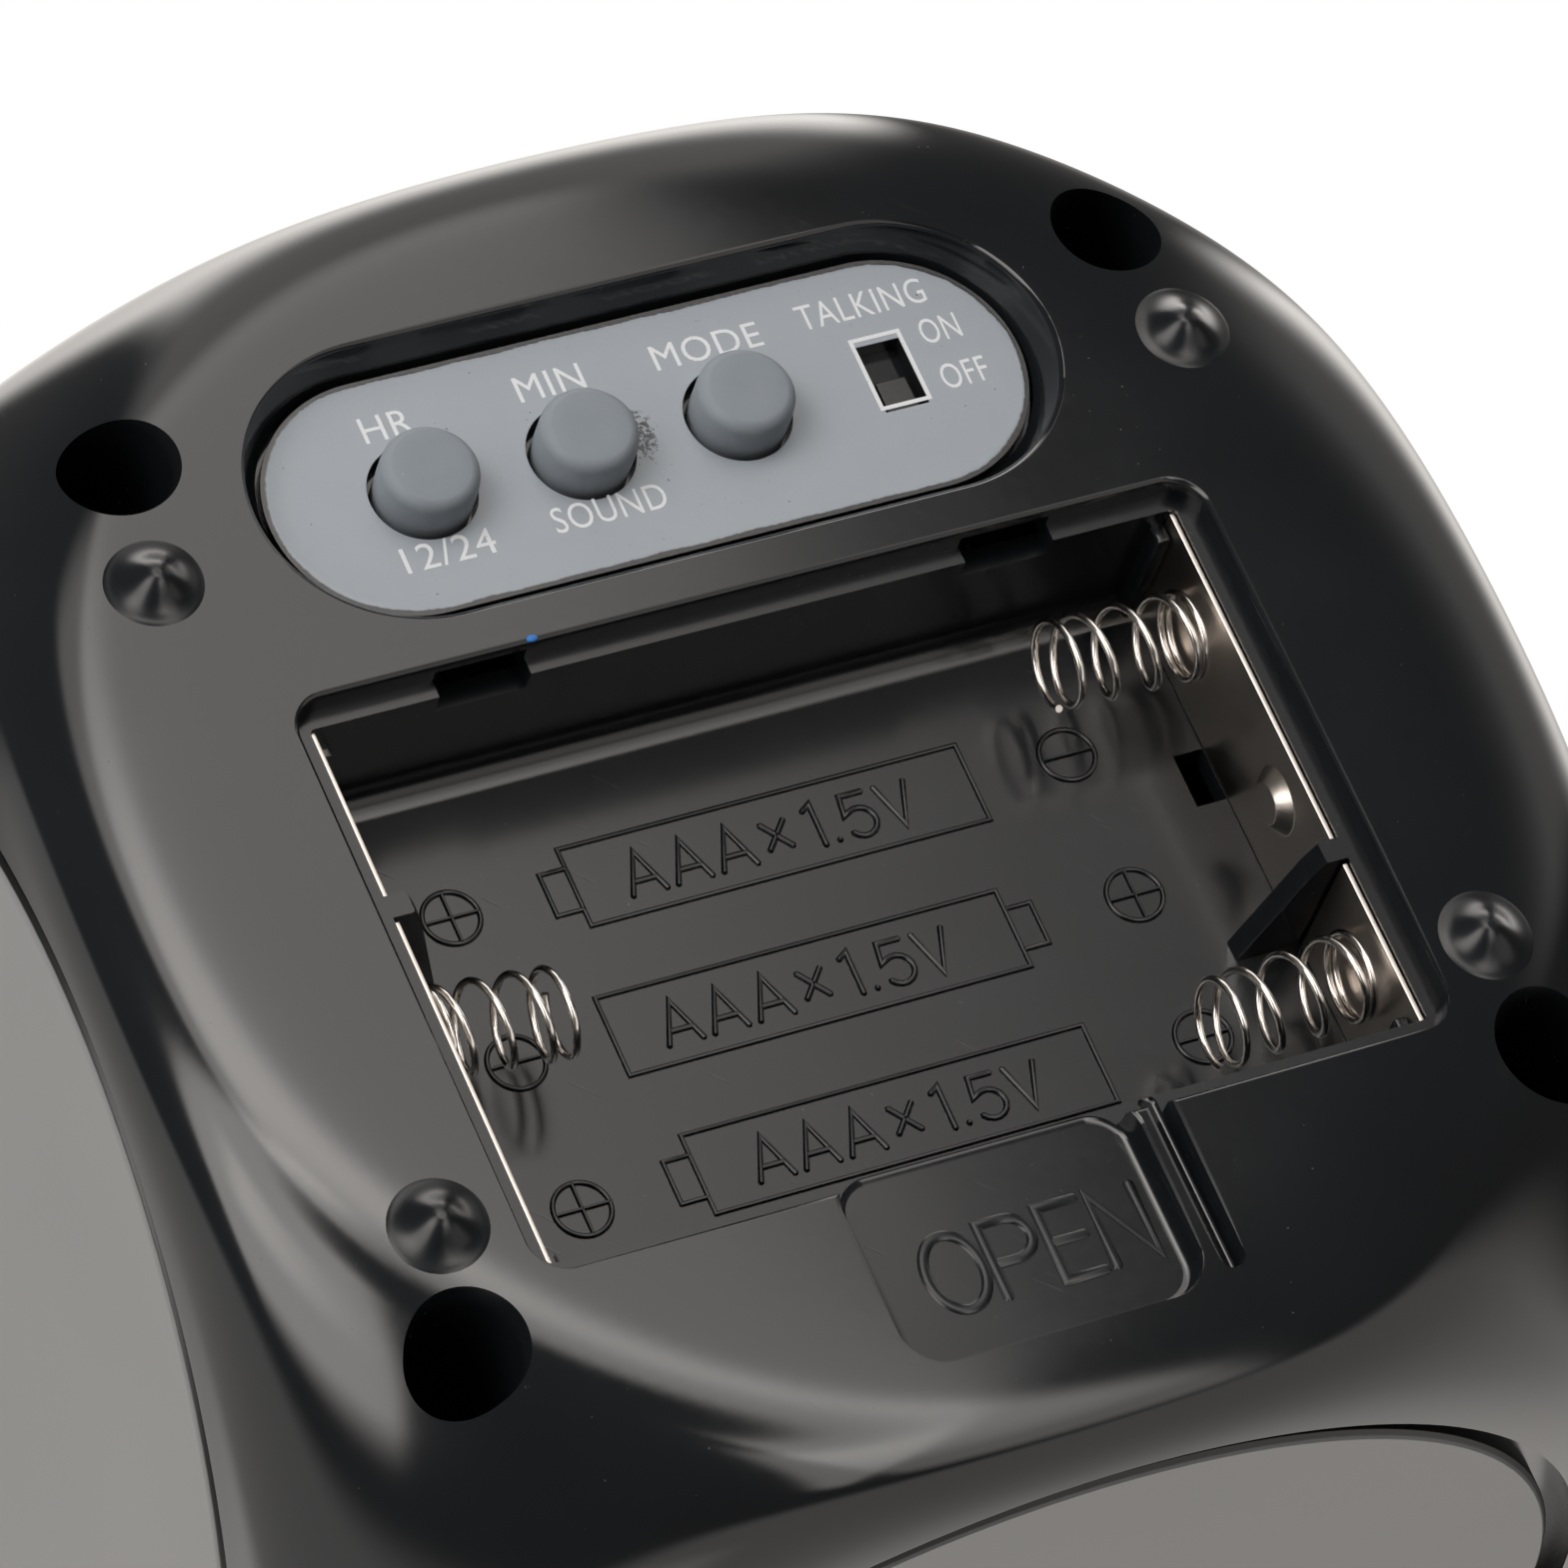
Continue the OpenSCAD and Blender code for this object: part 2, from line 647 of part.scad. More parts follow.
module front_plate() {
    color(grey)
        on_side(270) translate([0, 0, plate_back]) {
            difference() {
                plate_blank();
                translate([0, 0, -1])
                    round_block(window_view_h, window_view_w, plate_t + 2, window_view_r);
            }
            plate_posts(main_posts, main_board_gap);
        }
}

module rear_plate() {
    color(grey)
        on_side(90) translate([0, 0, plate_back]) {
            difference() {
                plate_blank();
                translate([0, 0, -1]) cylinder(r = grille_hole_r, h = plate_t + 2, $fn = 24);
                for (ring = [1:grille_rings], i = [0:6 * ring - 1])
                    rotate([0, 0, i * 60 / ring])
                        translate([ring * grille_pitch, 0, -1])
                            cylinder(r = grille_hole_r, h = plate_t + 2, $fn = 24);
            }
            plate_posts(speaker_posts, 1.2);
            // the short collar that centres the speaker
            translate([0, 0, -1])
                difference() {
                    cylinder(r = speaker_r + 0.8, h = 1.2);
                    translate([0, 0, -1]) cylinder(r = speaker_r + 0.1, h = 2);
                    for (p = speaker_posts) translate([p[0], p[1], -1]) cylinder(r = 2.4, h = 3, $fn = 48);
                }
        }
}

module left_plate() {
    color(grey) on_side(180) translate([0, 0, half_w - seat_t]) plate_blank();
}

module right_plate() {
    color(grey) on_side(0) translate([0, 0, half_w - seat_t]) plate_blank();
}

module control_plate() {
    color([0.64, 0.65, 0.66])
        difference() {
            translate([panel_x, -panel_y, panel_z]) stadium(panel_span, panel_r, panel_t - 0.02);
            for (i = [0:2])
                translate([first_button_x + i * button_pitch, -panel_y, 0])
                    cylinder(r = button_hole_r, h = pad_z);
            translate([switch_x - window_w / 2, -panel_y - window_l / 2, 0])
                cube([window_w, window_l, pad_z]);
        }
}

// one rubber cap: a slightly rounded post with a flange behind the panel
module push_button(i) {
    tip_z = panel_z - button_proud;
    soft = 0.5;
    color([0.56, 0.57, 0.59])
        translate([first_button_x + i * button_pitch, -panel_y, 0]) {
            rotate_extrude() {
                translate([0, tip_z + soft]) square([button_r, flange_z - tip_z - soft + eps]);
                translate([0, tip_z]) square([button_r - soft, soft + eps]);
                intersection() {
                    translate([button_r - soft, tip_z + soft]) circle(r = soft, $fn = 32);
                    translate([button_r - soft - eps, tip_z]) square([soft + eps, soft + eps]);
                }
            }
            translate([0, 0, flange_z]) cylinder(r = button_flange_r, h = button_flange_t);
        }
}

module hr_button() {
    push_button(0);
}

module min_button() {
    push_button(1);
}

module mode_button() {
    push_button(2);
}

// a small board behind the panel, on two posts that stand on the pad
module key_board() {
    color([0.1, 0.35, 0.2])
        translate([panel_x, -panel_y, key_board_z + 0.02])
            difference() {
                translate([-key_post_x - key_post_r - 0.3, -key_board_l / 2, 0])
                    cube([2 * (key_post_x + key_post_r + 0.3), key_board_l, board_t]);
                for (s = [-1, 1])
                    translate([s * key_post_x, 0, -1]) cylinder(r = 1.1, h = board_t + 2, $fn = 48);
            }
}

// three square key switches, plungers towards the caps
module key_switches() {
    color([0.2, 0.2, 0.22])
        for (i = [0:2])
            translate([first_button_x + i * button_pitch, -panel_y, plunger_z]) {
                cylinder(r = key_switch_w * 0.28, h = 1, $fn = 48);
                translate([-key_switch_w / 2, -key_switch_w / 2, 0.8])
                    cube([key_switch_w, key_switch_w, key_switch_h - 0.8]);
            }
}

// the slide switch's sheet metal case, open where the knob comes out
module slide_switch() {
    case_z = pad_z + 1;
    color([0.75, 0.74, 0.7])
        translate([switch_x, -panel_y, case_z])
            difference() {
                translate([-case_w / 2, -case_l / 2, 0]) cube([case_w, case_l, key_board_z - case_z]);
                translate([-knob_w / 2 - 0.15, -window_l / 2, -1])
                    cube([knob_w + 0.3, window_l, 1.4]);
                translate([-case_w / 2 + case_t, -case_l / 2 + case_t, case_t])
                    cube([case_w - 2 * case_t, case_l - 2 * case_t, key_board_z - case_z]);
            }
}

// the knob rests at the rear end of its window, which is off
module switch_knob() {
    tip_z = panel_z + 0.5;
    color(black)
        translate([switch_x, -panel_y + window_l / 2 - 0.2, 0]) {
            translate([-knob_w / 2, -knob_l, tip_z]) cube([knob_w, knob_l, pad_z + 1.6 - tip_z]);
            translate([-1.3, -knob_l - 0.3, pad_z + 1.45]) cube([2.6, knob_l + 0.6, 1.2]);
        }
}

// a contact plate standing against an end wall, from y0 to y1, with a dimple at each of rows
module contact(side, y0, y1, rows) {
    wall_x = side > 0 ? bay_right : bay_left;
    back_x = wall_x - side * contact_gap;
    color([0.78, 0.76, 0.7])
        translate([back_x, 0, 0]) mirror([side > 0 ? 1 : 0, 0, 0]) {
            translate([0, y0, contact_z]) cube([contact_t, y1 - y0, contact_h - contact_gap]);
            for (y = rows)
                translate([contact_t - 0.05, y, cell_z])
                    rotate([0, 90, 0])
                        cylinder(r1 = dimple_r, r2 = dimple_r - dimple_h, h = dimple_h, $fn = 48);
        }
}

rib_clear = rib_t / 2 + 0.15;
front_rail_y = bay_front + contact_gap;
rear_rail_y = bay_back - contact_gap;
right_rib_y = (row_y[1] + row_y[2]) / 2;
left_rib_y = (row_y[0] + row_y[1]) / 2;

module contact_right_pair() {
    contact(1, front_rail_y, right_rib_y - rib_clear, [row_y[1]]);
}

module contact_right_end() {
    contact(1, right_rib_y + rib_clear, rear_rail_y, []);
}

module contact_left_end() {
    contact(-1, front_rail_y, left_rib_y - rib_clear, [row_y[0]]);
}

module contact_left_pair() {
    contact(-1, left_rib_y + rib_clear, rear_rail_y, [row_y[2]]);
}

// a wire tube swept along points, as one closed surface of triangles
module wire(points, r, sides) {
    n = len(points);
    rings = [for (i = [0:n - 1])
        let (a = points[max(i - 1, 0)], b = points[min(i + 1, n - 1)], t = (b - a) / norm(b - a),
            u = cross(t, [0, 0, 1]), v = u / norm(u), w = cross(t, v))
            for (k = [0:sides - 1])
                points[i] + r * (cos(360 * k / sides) * v + sin(360 * k / sides) * w)];
    polyhedron(
        points = concat(rings, [points[0], points[n - 1]]),
        faces = concat(
            [for (i = [0:n - 2], k = [0:sides - 1]) let (j = (k + 1) % sides)
                [i * sides + k, i * sides + j, (i + 1) * sides + j]],
            [for (i = [0:n - 2], k = [0:sides - 1]) let (j = (k + 1) % sides)
                [i * sides + k, (i + 1) * sides + j, (i + 1) * sides + k]],
            [for (k = [0:sides - 1]) [n * sides, (k + 1) % sides, k]],
            [for (k = [0:sides - 1])
                [n * sides + 1, (n - 1) * sides + k, (n - 1) * sides + (k + 1) % sides]]));
}

// height along a spring's axis after a number of turns, close at both ends
function rise(turn, first, middle, last, pitch, length) =
    turn < first ? turn * pitch
    : turn < first + middle
        ? first * pitch + (turn - first) * (length - (first + last) * pitch) / middle
    : length - (first + middle + last - turn) * pitch;

function helix(r, first, middle, last, pitch, length, rings = 8) =
    [for (i = [0:rings * (first + middle + last)])
        let (turn = i / rings)
            [r * cos(360 * turn), r * sin(360 * turn),
                rise(turn, first, middle, last, pitch, length)]];

// least gap between the wire of one turn and the next, measured on the helix points
function least_gap(points, wire_r, rings = 8) =
    min([for (i = [0:len(points) - 1], j = [i + rings - 2:i + rings + 2])
        if (j < len(points)) norm(points[i] - points[j])]) - 2 * wire_r;

battery_helix = helix(spring_r, plate_turns, open_turns, free_turns, close_pitch,
    spring_len - 2 * spring_wire_r);
talk_spring_len = talk_seat_z - talk_board_z - board_t - 2 * talk_wire_r - 0.1;
talk_helix = helix(talk_spring_r, 1, talk_turns - 2, 1, 1.6, talk_spring_len);
echo(battery_spring_least_gap = least_gap(battery_helix, spring_wire_r));
echo(talk_spring_least_gap = least_gap(talk_helix, talk_wire_r));

// one battery spring on its contact plate, pointing into the bay
module battery_spring(side, y) {
    foot = spring_wire_r + contact_gap + contact_t + contact_gap;
    wall_x = side > 0 ? bay_right : bay_left;
    color([0.8, 0.77, 0.7])
        translate([wall_x - side * foot, y, cell_z])
            rotate([0, -side * 90, 0])
                wire(battery_helix, spring_wire_r, 6);
}

module spring_row_one() {
    battery_spring(1, row_y[0]);
}

module spring_row_two() {
    battery_spring(-1, row_y[1]);
}

module spring_row_three() {
    battery_spring(1, row_y[2]);
}

// the clear window: a flush pane with a rim behind the front plate
module display_window() {
    fit = 0.15;
    color([0.7, 0.75, 0.8, 0.5])
        on_side(270) translate([0, 0, plate_back]) {
            translate([0, 0, -window_rim_t])
                round_block(window_view_h + 2 * window_rim, window_view_w + 2 * window_rim,
                    window_rim_t - 0.02, window_view_r);
            translate([0, 0, -0.1])
                round_block(window_view_h - 2 * fit, window_view_w - 2 * fit, plate_t + 0.1,
                    window_view_r - fit);
        }
}

glass_w = window_view_w - 1;
glass_h = window_view_h;

module display_glass() {
    color([0.6, 0.66, 0.6])
        on_side(270) translate([0, 0, plate_back - window_rim_t - 0.3 - glass_t])
            translate([-glass_h / 2, -glass_w / 2, 0]) cube([glass_h, glass_w, glass_t]);
}

// the frame that holds the display glass off the main board
module display_holder() {
    depth = main_board_gap - window_rim_t - 0.1;
    color([0.85, 0.85, 0.83])
        on_side(270) translate([0, 0, plate_back - main_board_gap + 0.02])
            difference() {
                translate([-glass_h / 2 - 2, -glass_w / 2 - 0.9, 0])
                    cube([glass_h + 4, glass_w + 1.8, depth]);
                translate([-glass_h / 2 - 0.1, -glass_w / 2 - 0.1, -1])
                    cube([glass_h + 0.2, glass_w + 0.2, depth + 2]);
            }
}

// the rubber strip that joins the glass to the board, along the glass's lower edge
module contact_strip() {
    strip_h = main_board_gap - window_rim_t - 0.3 - glass_t;
    color([0.9, 0.75, 0.7])
        on_side(270) translate([glass_h / 2 - 2.4, -glass_w / 2 + 1, plate_back - main_board_gap + 0.03])
            cube([2, glass_w - 2, strip_h - 0.06]);
}

module main_board() {
    color([0.1, 0.35, 0.2])
        on_side(270) translate([0, 0, plate_back - main_board_gap - board_t])
            difference() {
                translate([-main_board_h / 2, -main_board_w / 2, 0])
                    cube([main_board_h, main_board_w, board_t - 0.01]);
                for (p = main_posts)
                    translate([p[0], p[1], -1]) cylinder(r = 1.3, h = board_t + 2, $fn = 48);
            }
}

// the voice chip under its round blob of black resin
module voice_chip() {
    dome_r = (chip_r * chip_r + chip_h * chip_h) / (2 * chip_h);
    color(black)
        on_side(270)
            translate([6, 4, plate_back - main_board_gap - board_t - 0.02])
                mirror([0, 0, 1])
                    rotate_extrude()
                        intersection() {
                            translate([0, chip_h - dome_r]) circle(r = dome_r);
                            square([chip_r, chip_h]);
                        }
}

module speaker_basket() {
    color([0.3, 0.3, 0.32])
        on_side(90) translate([0, 0, plate_back - 0.02])
            mirror([0, 0, 1])
                rotate_extrude()
                    difference() {
                        union() {
                            square([speaker_r, 1]);
                            polygon([[0, 0.9], [speaker_r - 1.5, 0.9], [magnet_r + 1.5, speaker_h - 6.5],
                                [0, speaker_h - 6.5]]);
                            translate([0, speaker_h - 6.6]) square([magnet_r, 6.6]);
                        }
                        polygon([[0, -1], [speaker_r - 2.6, -1], [speaker_r - 2.6, 1],
                            [magnet_r + 0.4, speaker_h - 7.7], [0, speaker_h - 7.7]]);
                    }
}

module speaker_cone() {
    color([0.15, 0.15, 0.15])
        on_side(90) translate([0, 0, plate_back - 0.7])
            mirror([0, 0, 1])
                rotate_extrude()
                    polygon([[0, 2], [4.5, 3], [speaker_r - 2.8, 0], [speaker_r - 2.8, 0.4], [4.5, 3.5],
                        [0, 2.5]]);
}

// the clamp ring with three ears that presses the speaker onto the rear plate
module speaker_ring() {
    color([0.7, 0.7, 0.68])
        on_side(90) translate([0, 0, plate_back - 1.2 - 1.04])
            difference() {
                union() {
                    cylinder(r = speaker_r + 0.6, h = 1);
                    for (p = speaker_posts) translate([p[0], p[1], 0]) cylinder(r = 2.6, h = 1, $fn = 48);
                }
                translate([0, 0, -1]) cylinder(r = speaker_r - 0.9, h = 3);
                for (p = speaker_posts)
                    translate([p[0], p[1], -1]) cylinder(r = 1.2, h = 3, $fn = 48);
            }
}

module talk_button() {
    dome_r = (talk_r * talk_r + talk_dome_h * talk_dome_h) / (2 * talk_dome_h);
    skirt_z = inner_top_z - 0.15;
    color([0.16, 0.16, 0.17])
        difference() {
            union() {
                intersection() {
                    translate([0, 0, talk_top_z - dome_r]) sphere(r = dome_r);
                    translate([0, 0, skirt_z - 1.5]) cylinder(r = talk_r, h = 30);
                }
                translate([0, 0, skirt_z - 1.5]) cylinder(r = talk_r + talk_flange, h = 1.5);
            }
            difference() {
                intersection() {
                    translate([0, 0, talk_top_z - dome_r]) sphere(r = dome_r - talk_wall);
                    translate([0, 0, skirt_z - 3]) cylinder(r = talk_r - talk_wall, h = 30);
                }
                // the spring's seat and the plunger in the middle
                translate([0, 0, talk_seat_z]) cylinder(r = talk_spring_r + 2, h = 20);
                translate([0, 0, talk_board_z + board_t + 5.1 + talk_travel]) cylinder(r = 2.6, h = 20);
            }
        }
}

module talk_spring() {
    color([0.8, 0.77, 0.7])
        translate([0, 0, talk_board_z + board_t + talk_wire_r + 0.05])
            wire(talk_helix, talk_wire_r, 6);
}

module talk_switch() {
    color([0.2, 0.2, 0.22])
        translate([0, 0, talk_board_z + board_t]) {
            translate([-3, -3, 0.01]) cube([6, 6, 3.6]);
            cylinder(r = 1.7, h = 4.9, $fn = 48);
        }
}

module talk_board() {
    color([0.1, 0.35, 0.2])
        difference() {
            translate([0, 0, talk_board_z]) cylinder(r = talk_post_r + 2.6, h = board_t - 0.01);
            for (a = [45:90:315]) rotate([0, 0, a])
                translate([talk_post_r, 0, talk_board_z - 1]) cylinder(r = 1.2, h = board_t + 2, $fn = 48);
        }
}

// a pan-head screw, head down, shank up from z = 0
module screw(shank_r, head_r, head_h, length) {
    translate([0, 0, -head_h])
        difference() {
            cylinder(r = head_r, h = head_h, $fn = 48);
            for (turn = [0, 90]) rotate([0, 0, turn])
                translate([-head_r * 0.6, -0.4, -1]) cube([head_r * 1.2, 0.8, 1 + head_h * 0.5]);
        }
    translate([0, 0, -eps]) cylinder(r = shank_r, h = length - 1, $fn = 48);
    translate([0, 0, length - 1 - eps]) cylinder(r1 = shank_r, r2 = shank_r * 0.4, h = 1, $fn = 48);
}

module housing_screws() {
    color([0.7, 0.7, 0.72])
        for (w = wells)
            translate([w[0], w[1], screw_seat_z - 0.02])
                screw(screw_r - 0.1, screw_head_r, screw_head_h, screw_len);
}

module main_board_screws() {
    color([0.7, 0.7, 0.72])
        on_side(270)
            for (p = main_posts)
                translate([p[0], p[1], plate_back - main_board_gap - board_t - 0.03])
                    screw(board_screw_r, board_head_r, board_head_h, board_t + board_screw_bite);
}

module speaker_screws() {
    color([0.7, 0.7, 0.72])
        on_side(90)
            for (p = speaker_posts)
                translate([p[0], p[1], plate_back - 2.3])
                    screw(board_screw_r, board_head_r, board_head_h, 2.2);
}

module talk_board_screws() {
    color([0.7, 0.7, 0.72])
        for (a = [45:90:315]) rotate([0, 0, a])
            translate([talk_post_r, 0, talk_board_z - 0.02])
                screw(board_screw_r, board_head_r, board_head_h, board_t + board_screw_bite);
}

module key_board_screws() {
    color([0.7, 0.7, 0.72])
        for (s = [-1, 1])
            translate([panel_x + s * key_post_x, -panel_y, key_board_z + board_t + 0.04])
                mirror([0, 0, 1])
                    screw(board_screw_r - 0.05, board_head_r - 0.2, board_head_h, board_screw_bite);
}

lower_housing();
upper_housing();
front_plate();
rear_plate();
left_plate();
right_plate();
control_plate();
hr_button();
min_button();
mode_button();
key_board();
key_switches();
slide_switch();
switch_knob();
contact_right_pair();
contact_right_end();
contact_left_end();
contact_left_pair();
spring_row_one();
spring_row_two();
spring_row_three();
display_window();
display_glass();
display_holder();
contact_strip();
main_board();
voice_chip();
speaker_basket();
speaker_cone();
speaker_ring();
talk_button();
talk_spring();
talk_switch();
talk_board();
housing_screws();
main_board_screws();
speaker_screws();
talk_board_screws();
key_board_screws();
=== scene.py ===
import math

import bmesh
import bpy
from mathutils import Matrix, Vector


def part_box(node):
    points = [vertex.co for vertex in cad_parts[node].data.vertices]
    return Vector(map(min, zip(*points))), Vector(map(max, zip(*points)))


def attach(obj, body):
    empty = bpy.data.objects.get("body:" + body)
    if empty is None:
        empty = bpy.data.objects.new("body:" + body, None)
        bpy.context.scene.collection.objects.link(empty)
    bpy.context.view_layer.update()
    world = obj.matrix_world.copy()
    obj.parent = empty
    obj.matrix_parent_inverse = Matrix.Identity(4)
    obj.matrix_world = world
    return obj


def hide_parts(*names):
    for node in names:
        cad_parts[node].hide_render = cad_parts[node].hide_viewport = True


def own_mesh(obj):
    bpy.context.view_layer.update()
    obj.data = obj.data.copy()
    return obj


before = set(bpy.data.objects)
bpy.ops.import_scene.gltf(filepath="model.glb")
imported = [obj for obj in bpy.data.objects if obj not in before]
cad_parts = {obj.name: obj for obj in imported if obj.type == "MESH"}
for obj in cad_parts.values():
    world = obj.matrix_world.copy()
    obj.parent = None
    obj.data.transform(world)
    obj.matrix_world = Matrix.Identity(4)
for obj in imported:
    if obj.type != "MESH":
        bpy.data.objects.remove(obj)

scene = bpy.context.scene
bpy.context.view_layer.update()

# Studio. The clock stands on its nubs on a pale floor, and the camera looks up at its base.
# The floor shows only from above, so that it hides nothing from the camera underneath.
MM = 0.001
CAMERA_PLACE = Vector((-201.9, 218.8, -442.9))
CAMERA_RIGHT = Vector((0.8971, 0.3875, -0.2122))
CAMERA_DOWN = Vector((-0.2359, 0.8262, 0.5115))
camera_view = CAMERA_RIGHT.cross(CAMERA_DOWN)

camera_data = bpy.data.cameras.new("camera")
camera_data.lens = 233.9
camera_data.sensor_width = 36.0
camera_data.clip_end = 100.0
camera = bpy.data.objects.new("camera", camera_data)
camera_turn = Matrix((CAMERA_RIGHT, -CAMERA_DOWN, -camera_view)).transposed()
camera.matrix_world = Matrix.Translation(CAMERA_PLACE * MM) @ camera_turn.to_4x4()
scene.collection.objects.link(camera)
scene.camera = camera
scene.view_settings.view_transform = "Standard"


def operator(operation, swapped=False):
    """A Python operator on sockets and numbers, which adds one Math node."""
    def apply(value, *others):
        inputs = (*others, value) if swapped else (value, *others)
        return value.nodes.add("Math", {"operation": operation}, *inputs)
    return apply


class Value:
    """A socket that can be added, multiplied and compared like a number."""

    __add__ = __radd__ = operator("ADD")
    __mul__ = __rmul__ = operator("MULTIPLY")
    __sub__ = operator("SUBTRACT")
    __rsub__ = operator("SUBTRACT", swapped=True)
    __truediv__ = operator("DIVIDE")
    __pow__ = operator("POWER")
    __lt__ = operator("LESS_THAN")
    __abs__ = operator("ABSOLUTE")
    highest = operator("MAXIMUM")

    def __init__(self, nodes, socket):
        self.nodes = nodes
        self.socket = socket

    def rise(self, start, end):
        """0 below start, 1 above end, with a soft step between."""
        soft = {"interpolation_type": "SMOOTHSTEP"}
        return self.nodes.add("MapRange", soft, self, start, end, 0.0, 1.0)


class Nodes:
    """The nodes of one material or of the world."""

    def __init__(self, tree):
        self.tree = tree

    def add(self, kind, settings, *inputs, out=""):
        """One node: its settings are made first, then its sockets get their values or links.
        What comes back is the output of the name given, or the first one."""
        node = self.tree.nodes.new("ShaderNode" + kind)
        for name, value in settings.items():
            setattr(node, name, value)
        for socket, value in zip([socket for socket in node.inputs if socket.enabled], inputs):
            self.feed(socket, value)
        shown = [socket for socket in node.outputs if socket.enabled and out in ("", socket.name)]
        return Value(self, shown[0]) if shown else None

    def feed(self, socket, value):
        if isinstance(value, Value):
            self.tree.links.new(value.socket, socket)
        else:
            socket.default_value = value

    def place(self):
        """Object coordinates in millimetres, as one vector, and as separate X, Y and Z."""
        point = self.add("TexCoord", {}, out="Object")
        point = self.add("VectorMath", {"operation": "SCALE"}, point, 1 / MM)
        return point, [self.add("SeparateXYZ", {}, point, out=axis) for axis in "XYZ"]

    def noise(self, point, size, detail=3.0, rough=0.5):
        """Cloudy noise whose patches are about size millimetres wide."""
        return self.add("TexNoise", {}, point, 1 / size, detail, rough)

    def blend(self, factor, first, second):
        """A colour between first and second."""
        return self.add("Mix", {"data_type": "RGBA"}, factor, first, second)


class Finish(Nodes):
    """A material on the Principled shader."""

    def __init__(self, name, **constants):
        self.material = bpy.data.materials.new(name)
        self.material.use_nodes = True
        super().__init__(self.material.node_tree)
        self.shader = self.tree.nodes["Principled BSDF"]
        self.set(**constants)

    def set(self, **values):
        for name, value in values.items():
            self.feed(self.shader.inputs[name.replace("_", " ")], value)

    def bump(self, height, depth):
        """Height from 0 to 1 raises the surface by depth millimetres."""
        self.set(Normal=self.add("Bump", {}, 1.0, depth * MM, 1.0, height))


def grey(level, warmth=0.0):
    """A linear colour from a grey as it shows on screen, 0 to 255, a little warmer or cooler."""
    levels = (level + warmth, level, level - warmth)
    return tuple(((v / 255 + 0.055) / 1.055) ** 2.4 for v in levels) + (1.0,)


# the world is white for the camera; what gloss shows of it is a studio of soft boxes
world = bpy.data.worlds.new("studio")
world.use_nodes = True
world.node_tree.nodes.clear()
studio = Nodes(world.node_tree)
heading = studio.add("TexCoord", {}, out="Generated")


def along(direction):
    """How far a ray of the world points along a direction, from -1 to 1."""
    return studio.add("VectorMath", {"operation": "DOT_PRODUCT"}, heading, tuple(direction))


def off_base(way):
    """The same for a direction of the camera's view, once the level base has mirrored the ray."""
    return along((way.x, way.y, -way.z))


def heading_of(turn, lift):
    """The direction at an angle round the clock, from its right side, and an angle above the floor."""
    turn, lift = math.radians(turn), math.radians(lift)
    return Vector((math.cos(lift) * math.cos(turn), math.cos(lift) * math.sin(turn), math.sin(lift)))


def card(light, middle, *edges):
    """A lit card: its light, its middle, and its edges as two directions and a softness each."""
    for first, last, soft in edges:
        side = heading_of(*first).cross(heading_of(*last)).normalized()
        if side.dot(heading_of(*middle)) < 0:
            side = -side
        light = light * along(side).rise(-soft / 2, soft / 2)
    return light


def band(bottom, top):
    """What lies below the clock between two soft edges, by how steeply a ray falls there."""
    return lift.rise(*bottom) * fall.rise(*top)


# the base mirrors one card, whose edge crosses it; the roll-offs round it mirror the others
EDGE_LEAN = 0.22
ahead = off_base(camera_view).highest(0.05)
box_edge = off_base(CAMERA_RIGHT) / ahead - off_base(CAMERA_DOWN) / ahead * EDGE_LEAN
lift = along((0, 0, 1))
fall = 0 - lift
mirrored = sum((
    # the base's card, and a brighter strip in front of it
    card(2.6, (-75, -65), ((-90, -60), (-90, -70), 0.06)) * band((-0.975, -0.945), (0.62, 0.72))
    * (1 - box_edge.rise(-0.012, 0.020)),
    card(1.4, (-72, -66), ((-86, -60), (-86, -70), 0.08), ((-55, -50), (-60, -75), 0.15))
    * band((-0.965, -0.93), (0.84, 0.93)),
    # the left roll-off's strip and the glow beside it
    card(4.8, (-175, -60), ((-177, -75), (148, -30), 0.05)) * band((-0.982, -0.957), (0.2, 0.42))
    * along((-0.232, 0.671, -0.704)).rise(0.45, 0.49),
    card(2.5, (-160, -57), ((-150, -62), (-170, -45), 0.08), ((-175, -62), (165, -45), 0.3))
    * band((-0.93, -0.87), (0.6, 0.8)),
    # the right roll-off's strip, brighter towards its foot
    card(3.6, (30, -70), ((-22, -70), (28, -60), 0.08), ((77, -50), (77, -70), 0.05))
    * band((-0.992, -0.975), (0.62, 0.76)) * (fall.rise(0.8, 0.97) * 0.5 + 0.5),
    # two tall cards at the front and the right corner, brighter from the floor upwards
    card(1.0, (-72, 0), ((-90, 0), (-90, 40), 0.12), ((-55, 0), (-55, 40), 0.08))
    * (lift.rise(-0.78, -0.62) * 1.3 + lift.rise(-0.42, 0.02) * (1 - lift.rise(0.1, 0.7)) * 3.4),
    card(1.0, (-28, 0), ((-41, 0), (-41, 40), 0.1), ((-14, 0), (-14, 40), 0.12))
    * (lift.rise(-0.78, -0.6) * 0.8 + lift.rise(-0.4, 0.15) * (1 - lift.rise(0.15, 0.7)) * 3.0),
    # pale walls on the right and at the back
    card(0.95, (65, 0), ((20, -40), (20, 30), 0.25), ((112, -10), (84, -30), 0.12))
    * lift.rise(-0.75, -0.6),
    card(0.95, (150, 20), ((100, 30), (100, 60), 0.2), ((-140, 10), (-140, 50), 0.2),
         ((170, -3), (90, -3), 0.15)),
), lift.rise(0.5, 0.9) * 0.3 + 0.12)

